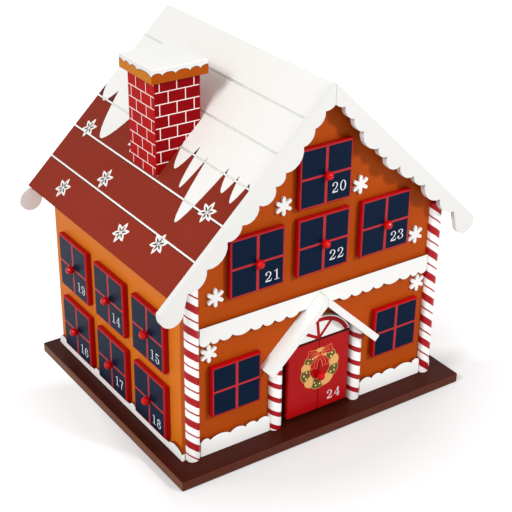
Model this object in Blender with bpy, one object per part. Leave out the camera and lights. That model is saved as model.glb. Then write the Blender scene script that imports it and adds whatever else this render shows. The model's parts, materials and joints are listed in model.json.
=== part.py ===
"""Refillable advent calendar: a painted wooden gingerbread house with 24 drawers.

Units are metres.  X runs along the front, the front looks along -Y, +Z is up.
The origin is the middle of the underside of the base board.
"""
import math

import bmesh
import bpy
from mathutils import Matrix, Vector

# Fits and cutting
SEAT_GAP = 0.0003
RUNNING_CLEARANCE = 0.0006
CUT_OVERRUN = 0.004
MERGE_DISTANCE = 0.00003
EASE_PROFILE_SHARE = 0.5

# Base board, as margins around the house
BASE_SIDE_MARGIN = 0.017
BASE_FRONT_MARGIN = 0.023
BASE_BACK_MARGIN = 0.008
BASE_THICKNESS = 0.009
BASE_EDGE_EASE = 0.0012

# House shell
HOUSE_WIDTH = 0.250
WALL_THICKNESS = 0.005

# Drawer fronts and trays
FRONT_SIZE = 0.050
FRONT_THICKNESS = 0.005
FRONT_EDGE_EASE = 0.0010
FRONT_LAP = 0.0035
TRAY_WALL = 0.0025
KNOB_DIAMETER = 0.0074
KNOB_STAND_OUT = 0.0031

# Drawer number 24, made as a pair of doors that reach up to the porch roof
DOOR_WIDTH = 0.061
DOOR_RISE = 0.0053
DOOR_HEADROOM = 0.0045
DOOR_SEAM_WIDTH = 0.0012
DOOR_SEAM_DEPTH = 0.0009

# Rows and columns of drawers: the margins around them and the gaps between their fronts
SIDE_FRONT_MARGIN = 0.0221
SIDE_BACK_MARGIN = 0.0161
SIDE_GAP = 0.0134
LOWER_ROW_RISE = 0.0081
ROW_GAP = 0.0118
GABLE_ROW_GAP = 0.0165
ATTIC_ROW_GAP = 0.0078
GABLE_GAP = 0.0120
BACK_GAP = 0.0100
GABLE_HEADROOM = 0.0160

# Bays inside the house
BAY_BOARD = 0.004
DECK_THICKNESS = 0.005
CENTRE_MARGIN = 0.0075
TRAY_END_GAP = 0.0175

# Roof
ROOF_SLOPE_DEGREES = 43.9
ROOF_THICKNESS = 0.005
EAVE_OVERHANG = 0.0174
FRONT_OVERHANG = 0.0078
BACK_OVERHANG = 0.0130
PLANK_COUNT = 6
GROOVE_WIDTH = 0.0012
GROOVE_DEPTH = 0.0007

# Scalloped fascia boards
FASCIA_THICKNESS = 0.005
FASCIA_DEPTH = 0.020
FASCIA_APEX_DEPTH = 0.015
FASCIA_STAND = 0.001
FASCIA_END_RADIUS = 0.0102
FASCIA_END_DROP = 0.0115
# each notch: how far along the slope, how deep, and how far the scallop before it hangs down
FASCIA_NOTCH_SHARES = (
    (0.098, 0.35, 0.06), (0.172, 0.46, 0.15), (0.251, 0.56, 0.16), (0.368, 0.63, 0.29),
    (0.431, 0.64, 0.18), (0.523, 0.56, 0.33), (0.619, 0.48, 0.26), (0.702, 0.41, 0.19),
    (0.828, 0.43, 0.32), (0.942, 0.40, 0.28),
)

# Chimney
CHIMNEY_WIDTH = 0.0408
CHIMNEY_DEPTH = 0.0410
CHIMNEY_FROM_RIDGE = 0.0732
CHIMNEY_SETBACK = 0.1106
CHIMNEY_CAP_THICKNESS = 0.012
CHIMNEY_CAP_OVERHANG = 0.005
CHIMNEY_CAP_EASE = 0.0008

# Candy-cane columns and porch
COLUMN_RADIUS = 0.006
POST_GAP = 0.004
PORCH_OVERHANG = 0.009
PORCH_DEPTH = 0.0140
PORCH_BOARD = 0.0060
PORCH_APEX_DROP = 0.0018

# Fan window over the door and the two fixed windows
FAN_GAP = 0.001
TRIM_BOARD = 0.005
WINDOW_SILL = 0.0352
WINDOW_HEADROOM = 0.0234
WINDOW_TO_COLUMN = 0.0095
WINDOW_TO_POST = 0.0107

# Snow boards on the walls
SNOW_THICKNESS = 0.003
BAND_HEADROOM = 0.0181
BAND_DEPTH = 0.0137
SCALLOP_HANG = 0.0031
# where the notches of the band's lower edge lie, from the middle to the end of one half
BAND_NOTCH_SHARES = (0.182, 0.288, 0.388, 0.488, 0.586, 0.740, 0.843, 0.915)
DRIFT_HEIGHT = 0.0135
DRIFT_SWELL = 0.0030
# where the notches of a front drift's upper edge lie, from the column to the post
DRIFT_NOTCH_SHARES = (0.13, 0.42, 0.64, 0.81)
SIDE_DRIFT_CLEARANCE = 0.0015
SIDE_DRIFT_SWELL = 0.0036

# Snowflakes on the front wall: each is a share of the free wall that it fills
FLAKE_THICKNESS = 0.002
FLAKE_ARM_SHARE = 0.19
FLAKE_CORE_SHARE = 0.40
UPPER_FLAKE_SHARE = 0.16
UPPER_FLAKE_SIDE_GAP = 0.0036
UPPER_FLAKE_LOWER_GAP = 0.0063
MIDDLE_FLAKE_SHARE = 0.308
MIDDLE_FLAKE_PLACE_SHARE = 0.413
MIDDLE_FLAKE_RISE = 0.0041
LOWER_FLAKE_SHARE = 0.342
LOWER_FLAKE_SIDE_GAP = 0.0010
LOWER_FLAKE_LOWER_GAP = 0.0041

# Smoothness of curved outlines
ARC_STEPS = 6
COLUMN_STEPS = 12
KNOB_SEGMENTS = 12
KNOB_RINGS = 8

# Worked out: base and shell
SLOPE = math.radians(ROOF_SLOPE_DEGREES)
SIDE_PITCH = FRONT_SIZE + SIDE_GAP
HOUSE_DEPTH = SIDE_FRONT_MARGIN + FRONT_SIZE + 2 * SIDE_PITCH + SIDE_BACK_MARGIN
BASE_WIDTH = HOUSE_WIDTH + 2 * BASE_SIDE_MARGIN
BASE_DEPTH = BASE_FRONT_MARGIN + HOUSE_DEPTH + BASE_BACK_MARGIN
HALF_HOUSE = HOUSE_WIDTH / 2
FRONT_Y = -BASE_DEPTH / 2 + BASE_FRONT_MARGIN
BACK_Y = FRONT_Y + HOUSE_DEPTH
FLOOR_Z = BASE_THICKNESS + SEAT_GAP
INNER_FRONT_Y = FRONT_Y + WALL_THICKNESS + SEAT_GAP
INNER_BACK_Y = BACK_Y - WALL_THICKNESS - SEAT_GAP
INNER_X = HALF_HOUSE - WALL_THICKNESS - SEAT_GAP

# Worked out: drawers
TRAY_SIZE = FRONT_SIZE - 2 * FRONT_LAP
DEEP_TRAY_LENGTH = HOUSE_DEPTH / 2 - TRAY_END_GAP
GABLE_PITCH = FRONT_SIZE + GABLE_GAP
BACK_PITCH = FRONT_SIZE + BACK_GAP
CENTRE_WIDTH = BACK_PITCH + TRAY_SIZE + 2 * CENTRE_MARGIN
SIDE_TRAY_LENGTH = HALF_HOUSE - CENTRE_WIDTH / 2 - BAY_BOARD - 2 * RUNNING_CLEARANCE
LOWER_Z = BASE_THICKNESS + LOWER_ROW_RISE + FRONT_SIZE / 2
UPPER_Z = LOWER_Z + FRONT_SIZE + ROW_GAP
GABLE_Z = UPPER_Z + FRONT_SIZE + GABLE_ROW_GAP
ATTIC_Z = GABLE_Z + FRONT_SIZE + ATTIC_ROW_GAP
GABLE_EDGE_X = GABLE_PITCH + FRONT_SIZE / 2
GABLE_TOP_Z = GABLE_Z + FRONT_SIZE / 2
GABLE_LOW_Z = GABLE_Z - FRONT_SIZE / 2
SIDE_COLUMN_YS = [FRONT_Y + SIDE_FRONT_MARGIN + FRONT_SIZE / 2 + k * SIDE_PITCH for k in range(3)]

# Worked out: roof
ROOF_RISE_AT_GABLE = GABLE_EDGE_X * math.tan(SLOPE) + ROOF_THICKNESS / math.cos(SLOPE)
RIDGE_Z = GABLE_TOP_Z + GABLE_HEADROOM + ROOF_RISE_AT_GABLE
HALF_ROOF = HALF_HOUSE + EAVE_OVERHANG
SLOPE_LENGTH = HALF_ROOF / math.cos(SLOPE)
ROOF_FRONT_Y = FRONT_Y - FRONT_OVERHANG
ROOF_BACK_Y = BACK_Y + BACK_OVERHANG

# Worked out: snow band, porch and the door under it
POST_X = DOOR_WIDTH / 2 + POST_GAP + COLUMN_RADIUS
COLUMN_X = HALF_HOUSE - COLUMN_RADIUS
COLUMN_EDGE_X = COLUMN_X - COLUMN_RADIUS
BAND_TOP_Z = GABLE_LOW_Z - BAND_HEADROOM
BAND_LOW_Z = BAND_TOP_Z - BAND_DEPTH
WINDOW_TOP_Z = BAND_LOW_Z - WINDOW_HEADROOM
PORCH_APEX_Z = BAND_TOP_Z - PORCH_APEX_DROP
PORCH_UNDER_Z = PORCH_APEX_Z - (PORCH_BOARD + SEAT_GAP) / math.cos(SLOPE)
DOOR_TOP_Z = PORCH_UNDER_Z - DOOR_WIDTH / 2 * math.tan(SLOPE) - DOOR_HEADROOM
DOOR_HEIGHT = DOOR_TOP_Z - BASE_THICKNESS - DOOR_RISE
DOOR_Z = DOOR_TOP_Z - DOOR_HEIGHT / 2
DOOR_TRAY_WIDTH = DOOR_WIDTH - 2 * FRONT_LAP
DOOR_TRAY_HEIGHT = DOOR_HEIGHT - 2 * FRONT_LAP
HALF_PORCH = POST_X + COLUMN_RADIUS + PORCH_OVERHANG
TRIM_Y = FRONT_Y - SEAT_GAP

COLOURS = {
    "gingerbread": ((0.58, 0.20, 0.035), 0.55),
    "snow_white": ((0.90, 0.89, 0.86), 0.50),
    "roof_brown": ((0.26, 0.030, 0.020), 0.55),
    "base_brown": ((0.075, 0.014, 0.010), 0.50),
    "drawer_red": ((0.45, 0.010, 0.012), 0.35),
    "knob_red": ((0.55, 0.008, 0.008), 0.15),
    "brick_red": ((0.38, 0.008, 0.012), 0.50),
    "cap_orange": ((0.50, 0.16, 0.02), 0.50),
    "candy_red": ((0.60, 0.30, 0.28), 0.40),
    "raw_board": ((0.42, 0.28, 0.16), 0.75),
}


def clear_scene():
    """Remove every object, so that the script starts from an empty scene."""
    for item in list(bpy.data.objects):
        bpy.data.objects.remove(item, do_unlink=True)


def make_collection(name):
    """A collection of this name, linked to the scene."""
    collection = bpy.data.collections.new(name)
    bpy.context.scene.collection.children.link(collection)
    return collection


def paint(name):
    """The painted finish of one colour as a Principled material."""
    if name in bpy.data.materials:
        return bpy.data.materials[name]
    colour, roughness = COLOURS[name]
    material = bpy.data.materials.new(name)
    material.use_nodes = True
    shader = material.node_tree.nodes["Principled BSDF"]
    shader.inputs["Base Color"].default_value = (*colour, 1.0)
    shader.inputs["Roughness"].default_value = roughness
    shader.inputs["Metallic"].default_value = 0.0
    return material


def mesh_from(work, name):
    """Turn the faces being built into a mesh with its faces pointing out."""
    bmesh.ops.recalc_face_normals(work, faces=work.faces)
    mesh = bpy.data.meshes.new(name)
    work.to_mesh(mesh)
    work.free()
    return mesh


def box_mesh(name, low, high):
    """A box between two corners."""
    size = [b - a for a, b in zip(low, high)]
    middle = [(a + b) / 2 for a, b in zip(low, high)]
    work = bmesh.new()
    place = Matrix.Translation(middle) @ Matrix.Diagonal((*size, 1.0))
    bmesh.ops.create_cube(work, size=1.0, matrix=place)
    return mesh_from(work, name)


def eased_box_mesh(name, low, high, ease, segments=2):
    """A box whose edges are sanded round."""
    work = bmesh.new()
    work.from_mesh(box_mesh(name, low, high))
    bmesh.ops.bevel(work, geom=work.edges[:], offset=ease, segments=segments,
                    profile=EASE_PROFILE_SHARE, affect="EDGES")
    return mesh_from(work, name)


def evaluated_mesh(item):
    """A copy of an object's mesh with its modifiers or its curve filled in."""
    graph = bpy.context.evaluated_depsgraph_get()
    return bpy.data.meshes.new_from_object(item.evaluated_get(graph), depsgraph=graph).copy()


def plate_mesh(name, outlines, thickness):
    """A flat board cut to closed outlines; the second and later outlines are holes."""
    curve = bpy.data.curves.new(name, "CURVE")
    curve.dimensions = "2D"
    curve.fill_mode = "BOTH"
    curve.extrude = thickness / 2
    for outline in outlines:
        spline = curve.splines.new("POLY")
        spline.points.add(len(outline) - 1)
        for point, (x, y) in zip(spline.points, outline):
            point.co = (x, y, 0.0, 1.0)
        spline.use_cyclic_u = True
    item = bpy.data.objects.new(name, curve)
    bpy.context.scene.collection.objects.link(item)
    bpy.context.view_layer.update()
    work = bmesh.new()
    work.from_mesh(evaluated_mesh(item))
    bmesh.ops.remove_doubles(work, verts=work.verts, dist=MERGE_DISTANCE)
    bpy.data.objects.remove(item, do_unlink=True)
    return mesh_from(work, name)


def combined(name, first, others, operation):
    """Join meshes into one body, or cut the others from the first, by Booleans."""
    scene_objects = bpy.context.scene.collection.objects
    main = bpy.data.objects.new(name, first)
    scene_objects.link(main)
    helpers = []
    for other in others:
        helper = bpy.data.objects.new(other.name, other)
        helper.hide_render = True
        helper.display_type = "WIRE"
        scene_objects.link(helper)
        helpers.append(helper)
        step = main.modifiers.new(other.name, "BOOLEAN")
        step.operation = operation
        step.solver = "EXACT"
        step.object = helper
    bpy.context.view_layer.update()
    result = evaluated_mesh(main)
    for item in [main, *helpers]:
        bpy.data.objects.remove(item, do_unlink=True)
    result.name = name
    return result


def add_part(name, mesh, colour, place=None):
    """Put one piece in the model, in its paint."""
    item = bpy.data.objects.new(name, mesh)
    PARTS.objects.link(item)
    if place is not None:
        item.matrix_world = place
    if not mesh.materials:
        mesh.materials.append(paint(colour))
    return item


def facing_front(y):
    """A board drawn in X and Z, standing with its middle at this depth."""
    return Matrix.Translation((0.0, y, 0.0)) @ Matrix.Rotation(math.pi / 2, 4, "X")


def facing_side(x):
    """A board drawn in Y and Z, standing with its middle at this X."""
    turn = Matrix.Rotation(math.pi / 2, 4, "Z") @ Matrix.Rotation(math.pi / 2, 4, "X")
    return Matrix.Translation((x, 0.0, 0.0)) @ turn


def smooth(mesh, angle=math.radians(35)):
    """Shade round faces smooth and leave the corners sharp."""
    mesh.shade_smooth()
    mesh.set_sharp_from_angle(angle=angle)
    return mesh


def rectangle(low_x, low_y, high_x, high_y):
    """The four corners of a rectangle."""
    return [(low_x, low_y), (high_x, low_y), (high_x, high_y), (low_x, high_y)]


def arc(start, end, hang, steps=ARC_STEPS):
    """Points after start up to end on an arc that bulges to the right of the way by hang."""
    a, b = Vector(start), Vector(end)
    chord = b - a
    half = chord.length / 2
    radius = (half * half + hang * hang) / (2 * hang)
    right = Vector((chord.y, -chord.x)).normalized()
    centre = (a + b) / 2 - right * (radius - hang)
    reach = 2 * math.atan2(hang, half) * 2
    points = []
    for k in range(1, steps + 1):
        turn = reach * (k / steps - 0.5)
        points.append(tuple(centre + radius * (right * math.cos(turn)
                                               + chord.normalized() * math.sin(turn))))
    points[-1] = tuple(b)
    return points


def roof_top_z(x):
    """Height of the roof's outer face over a point at this X."""
    return RIDGE_Z - abs(x) * math.tan(SLOPE)


def roof_under_z(x):
    """Height of the roof's inner face over a point at this X."""
    return roof_top_z(x) - ROOF_THICKNESS / math.cos(SLOPE)


def on_slope(along, below):
    """A point so far down the slope from the ridge and so far below the outer face."""
    x = along * math.cos(SLOPE) - below * math.sin(SLOPE)
    z = RIDGE_Z - along * math.sin(SLOPE) - below * math.cos(SLOPE)
    return (x, z)


def mirrored(points, side):
    """The outline itself for the right side, or turned over for the left side."""
    return [(side * x, z) for x, z in points]


def build_base():
    """The base board, its edges eased."""
    mesh = eased_box_mesh(
        "base_board",
        (-BASE_WIDTH / 2, -BASE_DEPTH / 2, 0.0),
        (BASE_WIDTH / 2, BASE_DEPTH / 2, BASE_THICKNESS),
        BASE_EDGE_EASE,
    )
    add_part("base_board", mesh, "base_brown")


def tray_opening(across, middle_z, width=TRAY_SIZE, height=TRAY_SIZE):
    """The hole in a wall that one tray runs through."""
    half = width / 2 + RUNNING_CLEARANCE
    low = middle_z - height / 2 - SEAT_GAP
    high = middle_z + height / 2 + RUNNING_CLEARANCE
    return rectangle(across - half, low, across + half, high)


def gable_outline():
    """The pentagon of a gable wall under the roof."""
    head = SEAT_GAP / math.cos(SLOPE)
    return [
        (-HALF_HOUSE, FLOOR_Z),
        (HALF_HOUSE, FLOOR_Z),
        (HALF_HOUSE, roof_under_z(HALF_HOUSE) - head),
        (0.0, roof_under_z(0.0) - head),
        (-HALF_HOUSE, roof_under_z(HALF_HOUSE) - head),
    ]


def build_gable_walls():
    """Front and back walls with the openings for their drawers."""
    gable = [(k * GABLE_PITCH, GABLE_Z) for k in (-1, 0, 1)]
    front = [gable_outline()]
    front += [tray_opening(x, z) for x, z in gable]
    front.append(tray_opening(0.0, ATTIC_Z))
    front.append(tray_opening(0.0, DOOR_Z, DOOR_TRAY_WIDTH, DOOR_TRAY_HEIGHT))
    mesh = plate_mesh("front_wall", front, WALL_THICKNESS)
    add_part("front_wall", mesh, "gingerbread", facing_front(FRONT_Y + WALL_THICKNESS / 2))

    back = [gable_outline()]
    back += [tray_opening(x, z) for x, z in gable]
    for z in (LOWER_Z, UPPER_Z):
        back += [tray_opening(side * BACK_PITCH / 2, z) for side in (-1, 1)]
    mesh = plate_mesh("back_wall", back, WALL_THICKNESS)
    add_part("back_wall", mesh, "gingerbread", facing_front(BACK_Y - WALL_THICKNESS / 2))


def build_side_walls():
    """Left and right walls between the gable walls, six openings each."""
    top = roof_under_z(HALF_HOUSE) - SEAT_GAP
    outlines = [rectangle(INNER_FRONT_Y, FLOOR_Z, INNER_BACK_Y, top)]
    for y in SIDE_COLUMN_YS:
        outlines += [tray_opening(y, z) for z in (LOWER_Z, UPPER_Z)]
    for name, side in (("left_wall", -1), ("right_wall", 1)):
        mesh = plate_mesh(name, outlines, WALL_THICKNESS)
        add_part(name, mesh, "gingerbread", facing_side(side * (HALF_HOUSE - WALL_THICKNESS / 2)))


def roof_outline():
    """Section of one roof panel: six planks marked by grooves, mitred at the ridge."""
    ridge_x = SEAT_GAP / 2
    points = [(ridge_x, roof_top_z(ridge_x))]
    for k in range(1, PLANK_COUNT):
        along = SLOPE_LENGTH * k / PLANK_COUNT
        points.append(on_slope(along - GROOVE_WIDTH / 2, 0.0))
        points.append(on_slope(along, GROOVE_DEPTH))
        points.append(on_slope(along + GROOVE_WIDTH / 2, 0.0))
    points.append(on_slope(SLOPE_LENGTH, 0.0))
    points.append(on_slope(SLOPE_LENGTH, ROOF_THICKNESS))
    points.append((ridge_x, roof_under_z(ridge_x)))
    return points


def build_roof():
    """The two roof panels."""
    length = ROOF_BACK_Y - ROOF_FRONT_Y
    middle = (ROOF_BACK_Y + ROOF_FRONT_Y) / 2
    for name, side in (("left_roof_panel", -1), ("right_roof_panel", 1)):
        mesh = plate_mesh(name, [mirrored(roof_outline(), side)], length)
        add_part(name, mesh, "roof_brown", facing_front(middle))


def fascia_lower_edge():
    """The scalloped lower edge of a fascia board, round its hanging end to the outer side."""
    inner_x = HALF_ROOF - FASCIA_END_RADIUS
    outer_x = HALF_ROOF + FASCIA_END_RADIUS
    end_z = roof_top_z(HALF_ROOF) - FASCIA_END_DROP
    points = [(SEAT_GAP / 2, RIDGE_Z - FASCIA_APEX_DEPTH)]
    for along_share, depth_share, hang_share in FASCIA_NOTCH_SHARES:
        notch = on_slope(along_share * SLOPE_LENGTH, depth_share * FASCIA_DEPTH)
        points += arc(points[-1], notch, hang_share * FASCIA_DEPTH)
    points.append((inner_x, end_z))
    points += arc(points[-1], (outer_x, end_z), FASCIA_END_RADIUS, 2 * ARC_STEPS)
    return points


def front_fascia_outline():
    """A front fascia board: it covers the roof panel's end and stands a little above it."""
    lift = FASCIA_STAND / math.cos(SLOPE)
    points = fascia_lower_edge()
    points.append((points[-1][0], roof_top_z(points[-1][0]) + lift))
    points.append((SEAT_GAP / 2, roof_top_z(SEAT_GAP / 2) + lift))
    return points


def back_fascia_outline():
    """A back fascia board: it is tucked under the roof panel, and only its end shows past it."""
    points = fascia_lower_edge()
    side_x, side_z = points[-1]
    end_top = (side_x - FASCIA_END_RADIUS, side_z + FASCIA_END_RADIUS)
    quarter_hang = FASCIA_END_RADIUS * (1 - math.sqrt(0.5))
    points += arc(points[-1], end_top, quarter_hang)
    points.append(on_slope(SLOPE_LENGTH + SEAT_GAP, ROOF_THICKNESS + SEAT_GAP))
    head = SEAT_GAP / math.cos(SLOPE)
    points.append((SEAT_GAP / 2, roof_under_z(SEAT_GAP / 2) - head))
    return points


def build_fascias():
    """Four fascia boards, two on each gable."""
    front_y = ROOF_FRONT_Y - SEAT_GAP - FASCIA_THICKNESS / 2
    back_y = ROOF_BACK_Y - FASCIA_THICKNESS / 2
    for end, outline, y in (("front", front_fascia_outline(), front_y),
                            ("back", back_fascia_outline(), back_y)):
        for hand, side in (("left", -1), ("right", 1)):
            name = f"{end}_fascia_{hand}"
            mesh = plate_mesh(name, [mirrored(outline, side)], FASCIA_THICKNESS)
            add_part(name, mesh, "snow_white", facing_front(y))


def build_chimney():
    """The brick stack on the left slope and its snow-topped cap."""
    middle_y = FRONT_Y + CHIMNEY_SETBACK
    inner, outer = [-CHIMNEY_FROM_RIDGE + k * CHIMNEY_WIDTH / 2 for k in (1, -1)]
    lift = SEAT_GAP / math.cos(SLOPE)
    top = RIDGE_Z - CHIMNEY_CAP_THICKNESS
    outline = [
        (outer, roof_top_z(outer) + lift),
        (inner, roof_top_z(inner) + lift),
        (inner, top),
        (outer, top),
    ]
    mesh = plate_mesh("chimney_stack", [outline], CHIMNEY_DEPTH)
    add_part("chimney_stack", mesh, "brick_red", facing_front(middle_y))
    reach_x = CHIMNEY_WIDTH / 2 + CHIMNEY_CAP_OVERHANG
    reach_y = CHIMNEY_DEPTH / 2 + CHIMNEY_CAP_OVERHANG
    mesh = eased_box_mesh(
        "chimney_cap",
        (-CHIMNEY_FROM_RIDGE - reach_x, middle_y - reach_y, top + SEAT_GAP),
        (-CHIMNEY_FROM_RIDGE + reach_x, middle_y + reach_y, RIDGE_Z),
        CHIMNEY_CAP_EASE,
    )
    add_part("chimney_cap", mesh, "cap_orange")


def half_round(name, x, top):
    """A half-round dowel standing on the base against the front wall."""
    outline = []
    for k in range(COLUMN_STEPS + 1):
        turn = math.pi + math.pi * k / COLUMN_STEPS
        outline.append((COLUMN_RADIUS * math.cos(turn), COLUMN_RADIUS * math.sin(turn)))
    mesh = plate_mesh(name, [outline], top - FLOOR_Z)
    mesh.transform(Matrix.Translation((x, TRIM_Y, (top + FLOOR_Z) / 2)))
    return mesh


def build_columns():
    """Candy-cane columns on the two front corners."""
    top = roof_under_z(HALF_HOUSE) - SEAT_GAP / math.cos(SLOPE)
    for name, side in (("left_candy_column", -1), ("right_candy_column", 1)):
        add_part(name, smooth(half_round(name, side * COLUMN_X, top)), "candy_red")


def porch_outline():
    """Section of one porch roof board, mitred at the apex."""
    ridge_x = SEAT_GAP / 2
    run = math.cos(SLOPE)
    fall = math.sin(SLOPE)
    low_z = PORCH_APEX_Z - HALF_PORCH * math.tan(SLOPE)
    return [
        (ridge_x, PORCH_APEX_Z - ridge_x * math.tan(SLOPE)),
        (HALF_PORCH, low_z),
        (HALF_PORCH - PORCH_BOARD * fall, low_z - PORCH_BOARD * run),
        (ridge_x, PORCH_APEX_Z - ridge_x * math.tan(SLOPE) - PORCH_BOARD / run),
    ]


def build_porch():
    """Porch roof boards and the posts cut to fit under them."""
    middle_y = TRIM_Y - PORCH_DEPTH / 2
    for hand, side in (("left", -1), ("right", 1)):
        name = f"{hand}_porch_roof"
        mesh = plate_mesh(name, [mirrored(porch_outline(), side)], PORCH_DEPTH)
        add_part(name, mesh, "snow_white", facing_front(middle_y))
        name = f"{hand}_porch_post"
        work = bmesh.new()
        work.from_mesh(half_round(name, side * POST_X, PORCH_APEX_Z))
        cut = bmesh.ops.bisect_plane(
            work,
            geom=work.verts[:] + work.edges[:] + work.faces[:],
            plane_co=(0.0, 0.0, PORCH_UNDER_Z),
            plane_no=(side * math.sin(SLOPE), 0.0, math.cos(SLOPE)),
            clear_outer=True,
        )
        rim = [item for item in cut["geom_cut"] if isinstance(item, bmesh.types.BMEdge)]
        bmesh.ops.contextual_create(work, geom=rim)
        add_part(name, smooth(mesh_from(work, name)), "candy_red")


def fan_rise(half, low):
    """How high an arch of this half width rises from this height to touch the porch roof."""
    reach = (PORCH_UNDER_Z - low) * math.cos(SLOPE)
    spare = reach * reach - (half * math.sin(SLOPE)) ** 2
    return (reach + math.sqrt(spare)) / (1 + math.cos(SLOPE))


def build_windows():
    """The fan window over the door and the two fixed windows."""
    half = DOOR_WIDTH / 2
    low = DOOR_TOP_Z + FAN_GAP
    outline = [(-half, low), (half, low)]
    outline += arc((half, low), (-half, low), fan_rise(half, low), 3 * ARC_STEPS)[:-1]
    mesh = plate_mesh("fan_window", [outline], TRIM_BOARD)
    add_part("fan_window", mesh, "snow_white", facing_front(TRIM_Y - TRIM_BOARD / 2))
    inner = POST_X + COLUMN_RADIUS + WINDOW_TO_POST
    outer = COLUMN_EDGE_X - WINDOW_TO_COLUMN
    low = BASE_THICKNESS + WINDOW_SILL
    for name, side in (("left_fixed_window", -1), ("right_fixed_window", 1)):
        a, b = sorted((side * inner, side * outer))
        mesh = eased_box_mesh(
            name,
            (a, TRIM_Y - TRIM_BOARD, low),
            (b, TRIM_Y, WINDOW_TOP_Z),
            FRONT_EDGE_EASE,
        )
        add_part(name, mesh, "drawer_red")


def band_half():
    """Lower edge of the snow band from the porch roof out to the column."""
    end_x = COLUMN_EDGE_X - SEAT_GAP
    low = BAND_LOW_Z
    fit = SEAT_GAP / math.cos(SLOPE)
    start = ((PORCH_APEX_Z + fit - low) / math.tan(SLOPE), low)
    points = [(0.0, PORCH_APEX_Z + fit), start, (BAND_NOTCH_SHARES[0] * end_x, low)]
    for share in (*BAND_NOTCH_SHARES[1:], 1.0):
        points += arc(points[-1], (share * end_x, low), SCALLOP_HANG)
    points.append((end_x, BAND_TOP_Z))
    return points


def build_snow_band():
    """The scalloped snow band across the front, notched round the porch roof."""
    half = band_half()
    outline = half + [(-x, z) for x, z in reversed(half[1:])]
    mesh = plate_mesh("front_snow_band", [outline], SNOW_THICKNESS)
    add_part("front_snow_band", mesh, "snow_white", facing_front(TRIM_Y - SNOW_THICKNESS / 2))


def build_front_drifts():
    """Snow drifts at the foot of the front wall, between column and post."""
    outer = COLUMN_EDGE_X - SEAT_GAP
    inner = POST_X + COLUMN_RADIUS + SEAT_GAP
    top = BASE_THICKNESS + DRIFT_HEIGHT
    points = [(inner, FLOOR_Z), (outer, FLOOR_Z), (outer, top)]
    for share in (*DRIFT_NOTCH_SHARES, 1.0):
        notch = (outer + (inner - outer) * share, top)
        points += arc(points[-1], notch, DRIFT_SWELL)
    for name, side in (("left_front_drift", -1), ("right_front_drift", 1)):
        mesh = plate_mesh(name, [mirrored(points, side)], SNOW_THICKNESS)
        add_part(name, mesh, "snow_white", facing_front(TRIM_Y - SNOW_THICKNESS / 2))


def build_side_drifts():
    """Low snow strips along the side walls, with a mound in each gap between drawers."""
    low_top = BASE_THICKNESS + LOWER_ROW_RISE - SIDE_DRIFT_CLEARANCE
    half_front = FRONT_SIZE / 2 + 2 * RUNNING_CLEARANCE
    points = [(FRONT_Y, FLOOR_Z), (BACK_Y, FLOOR_Z), (BACK_Y, low_top)]
    for y in reversed(SIDE_COLUMN_YS):
        points += arc(points[-1], (y + half_front, low_top), SIDE_DRIFT_SWELL)
        points.append((y - half_front, low_top))
    points += arc(points[-1], (FRONT_Y, low_top), SIDE_DRIFT_SWELL)
    for name, side in (("left_side_drift", -1), ("right_side_drift", 1)):
        mesh = plate_mesh(name, [points], SNOW_THICKNESS)
        x = side * (HALF_HOUSE + SEAT_GAP + SNOW_THICKNESS / 2)
        add_part(name, mesh, "snow_white", facing_side(x))


def flake_outline(middle_x, middle_z, radius):
    """A six-armed snowflake with round tips."""
    arm = FLAKE_ARM_SHARE * radius
    core = FLAKE_CORE_SHARE * radius
    points = []
    for k in range(6):
        turn = math.pi / 2 + k * math.pi / 3
        out = Vector((math.cos(turn), math.sin(turn)))
        across = Vector((out.y, -out.x))
        tip = out * (radius - arm)
        valley = Vector((math.cos(turn - math.pi / 6), math.sin(turn - math.pi / 6)))
        points.append(valley * core)
        for j in range(ARC_STEPS // 2 + 1):
            bend = math.pi * j / (ARC_STEPS // 2)
            points.append(tip + arm * (across * math.cos(bend) + out * math.sin(bend)))
    return [(middle_x + p.x, middle_z + p.y) for p in points]


def flake_places():
    """Name, distance from the middle, height and radius of the snowflakes of one half."""
    upper = UPPER_FLAKE_SHARE * FRONT_SIZE
    room = COLUMN_EDGE_X - GABLE_EDGE_X
    lower = LOWER_FLAKE_SHARE * WINDOW_HEADROOM
    return [
        ("upper", FRONT_SIZE / 2 + UPPER_FLAKE_SIDE_GAP + upper,
         GABLE_TOP_Z + UPPER_FLAKE_LOWER_GAP + upper, upper),
        ("middle", GABLE_EDGE_X + MIDDLE_FLAKE_PLACE_SHARE * room,
         GABLE_LOW_Z + MIDDLE_FLAKE_RISE, MIDDLE_FLAKE_SHARE * room),
        ("lower", COLUMN_EDGE_X - LOWER_FLAKE_SIDE_GAP - lower,
         WINDOW_TOP_Z + LOWER_FLAKE_LOWER_GAP + lower, lower),
    ]


def build_snowflakes():
    """Six wooden snowflakes on the front wall."""
    y = TRIM_Y - FLAKE_THICKNESS / 2
    for level, out, height, radius in flake_places():
        for hand, side in (("left", -1), ("right", 1)):
            name = f"{level}_snowflake_{hand}"
            outline = flake_outline(side * out, height, radius)
            mesh = plate_mesh(name, [outline], FLAKE_THICKNESS)
            add_part(name, mesh, "snow_white", facing_front(y))


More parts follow.
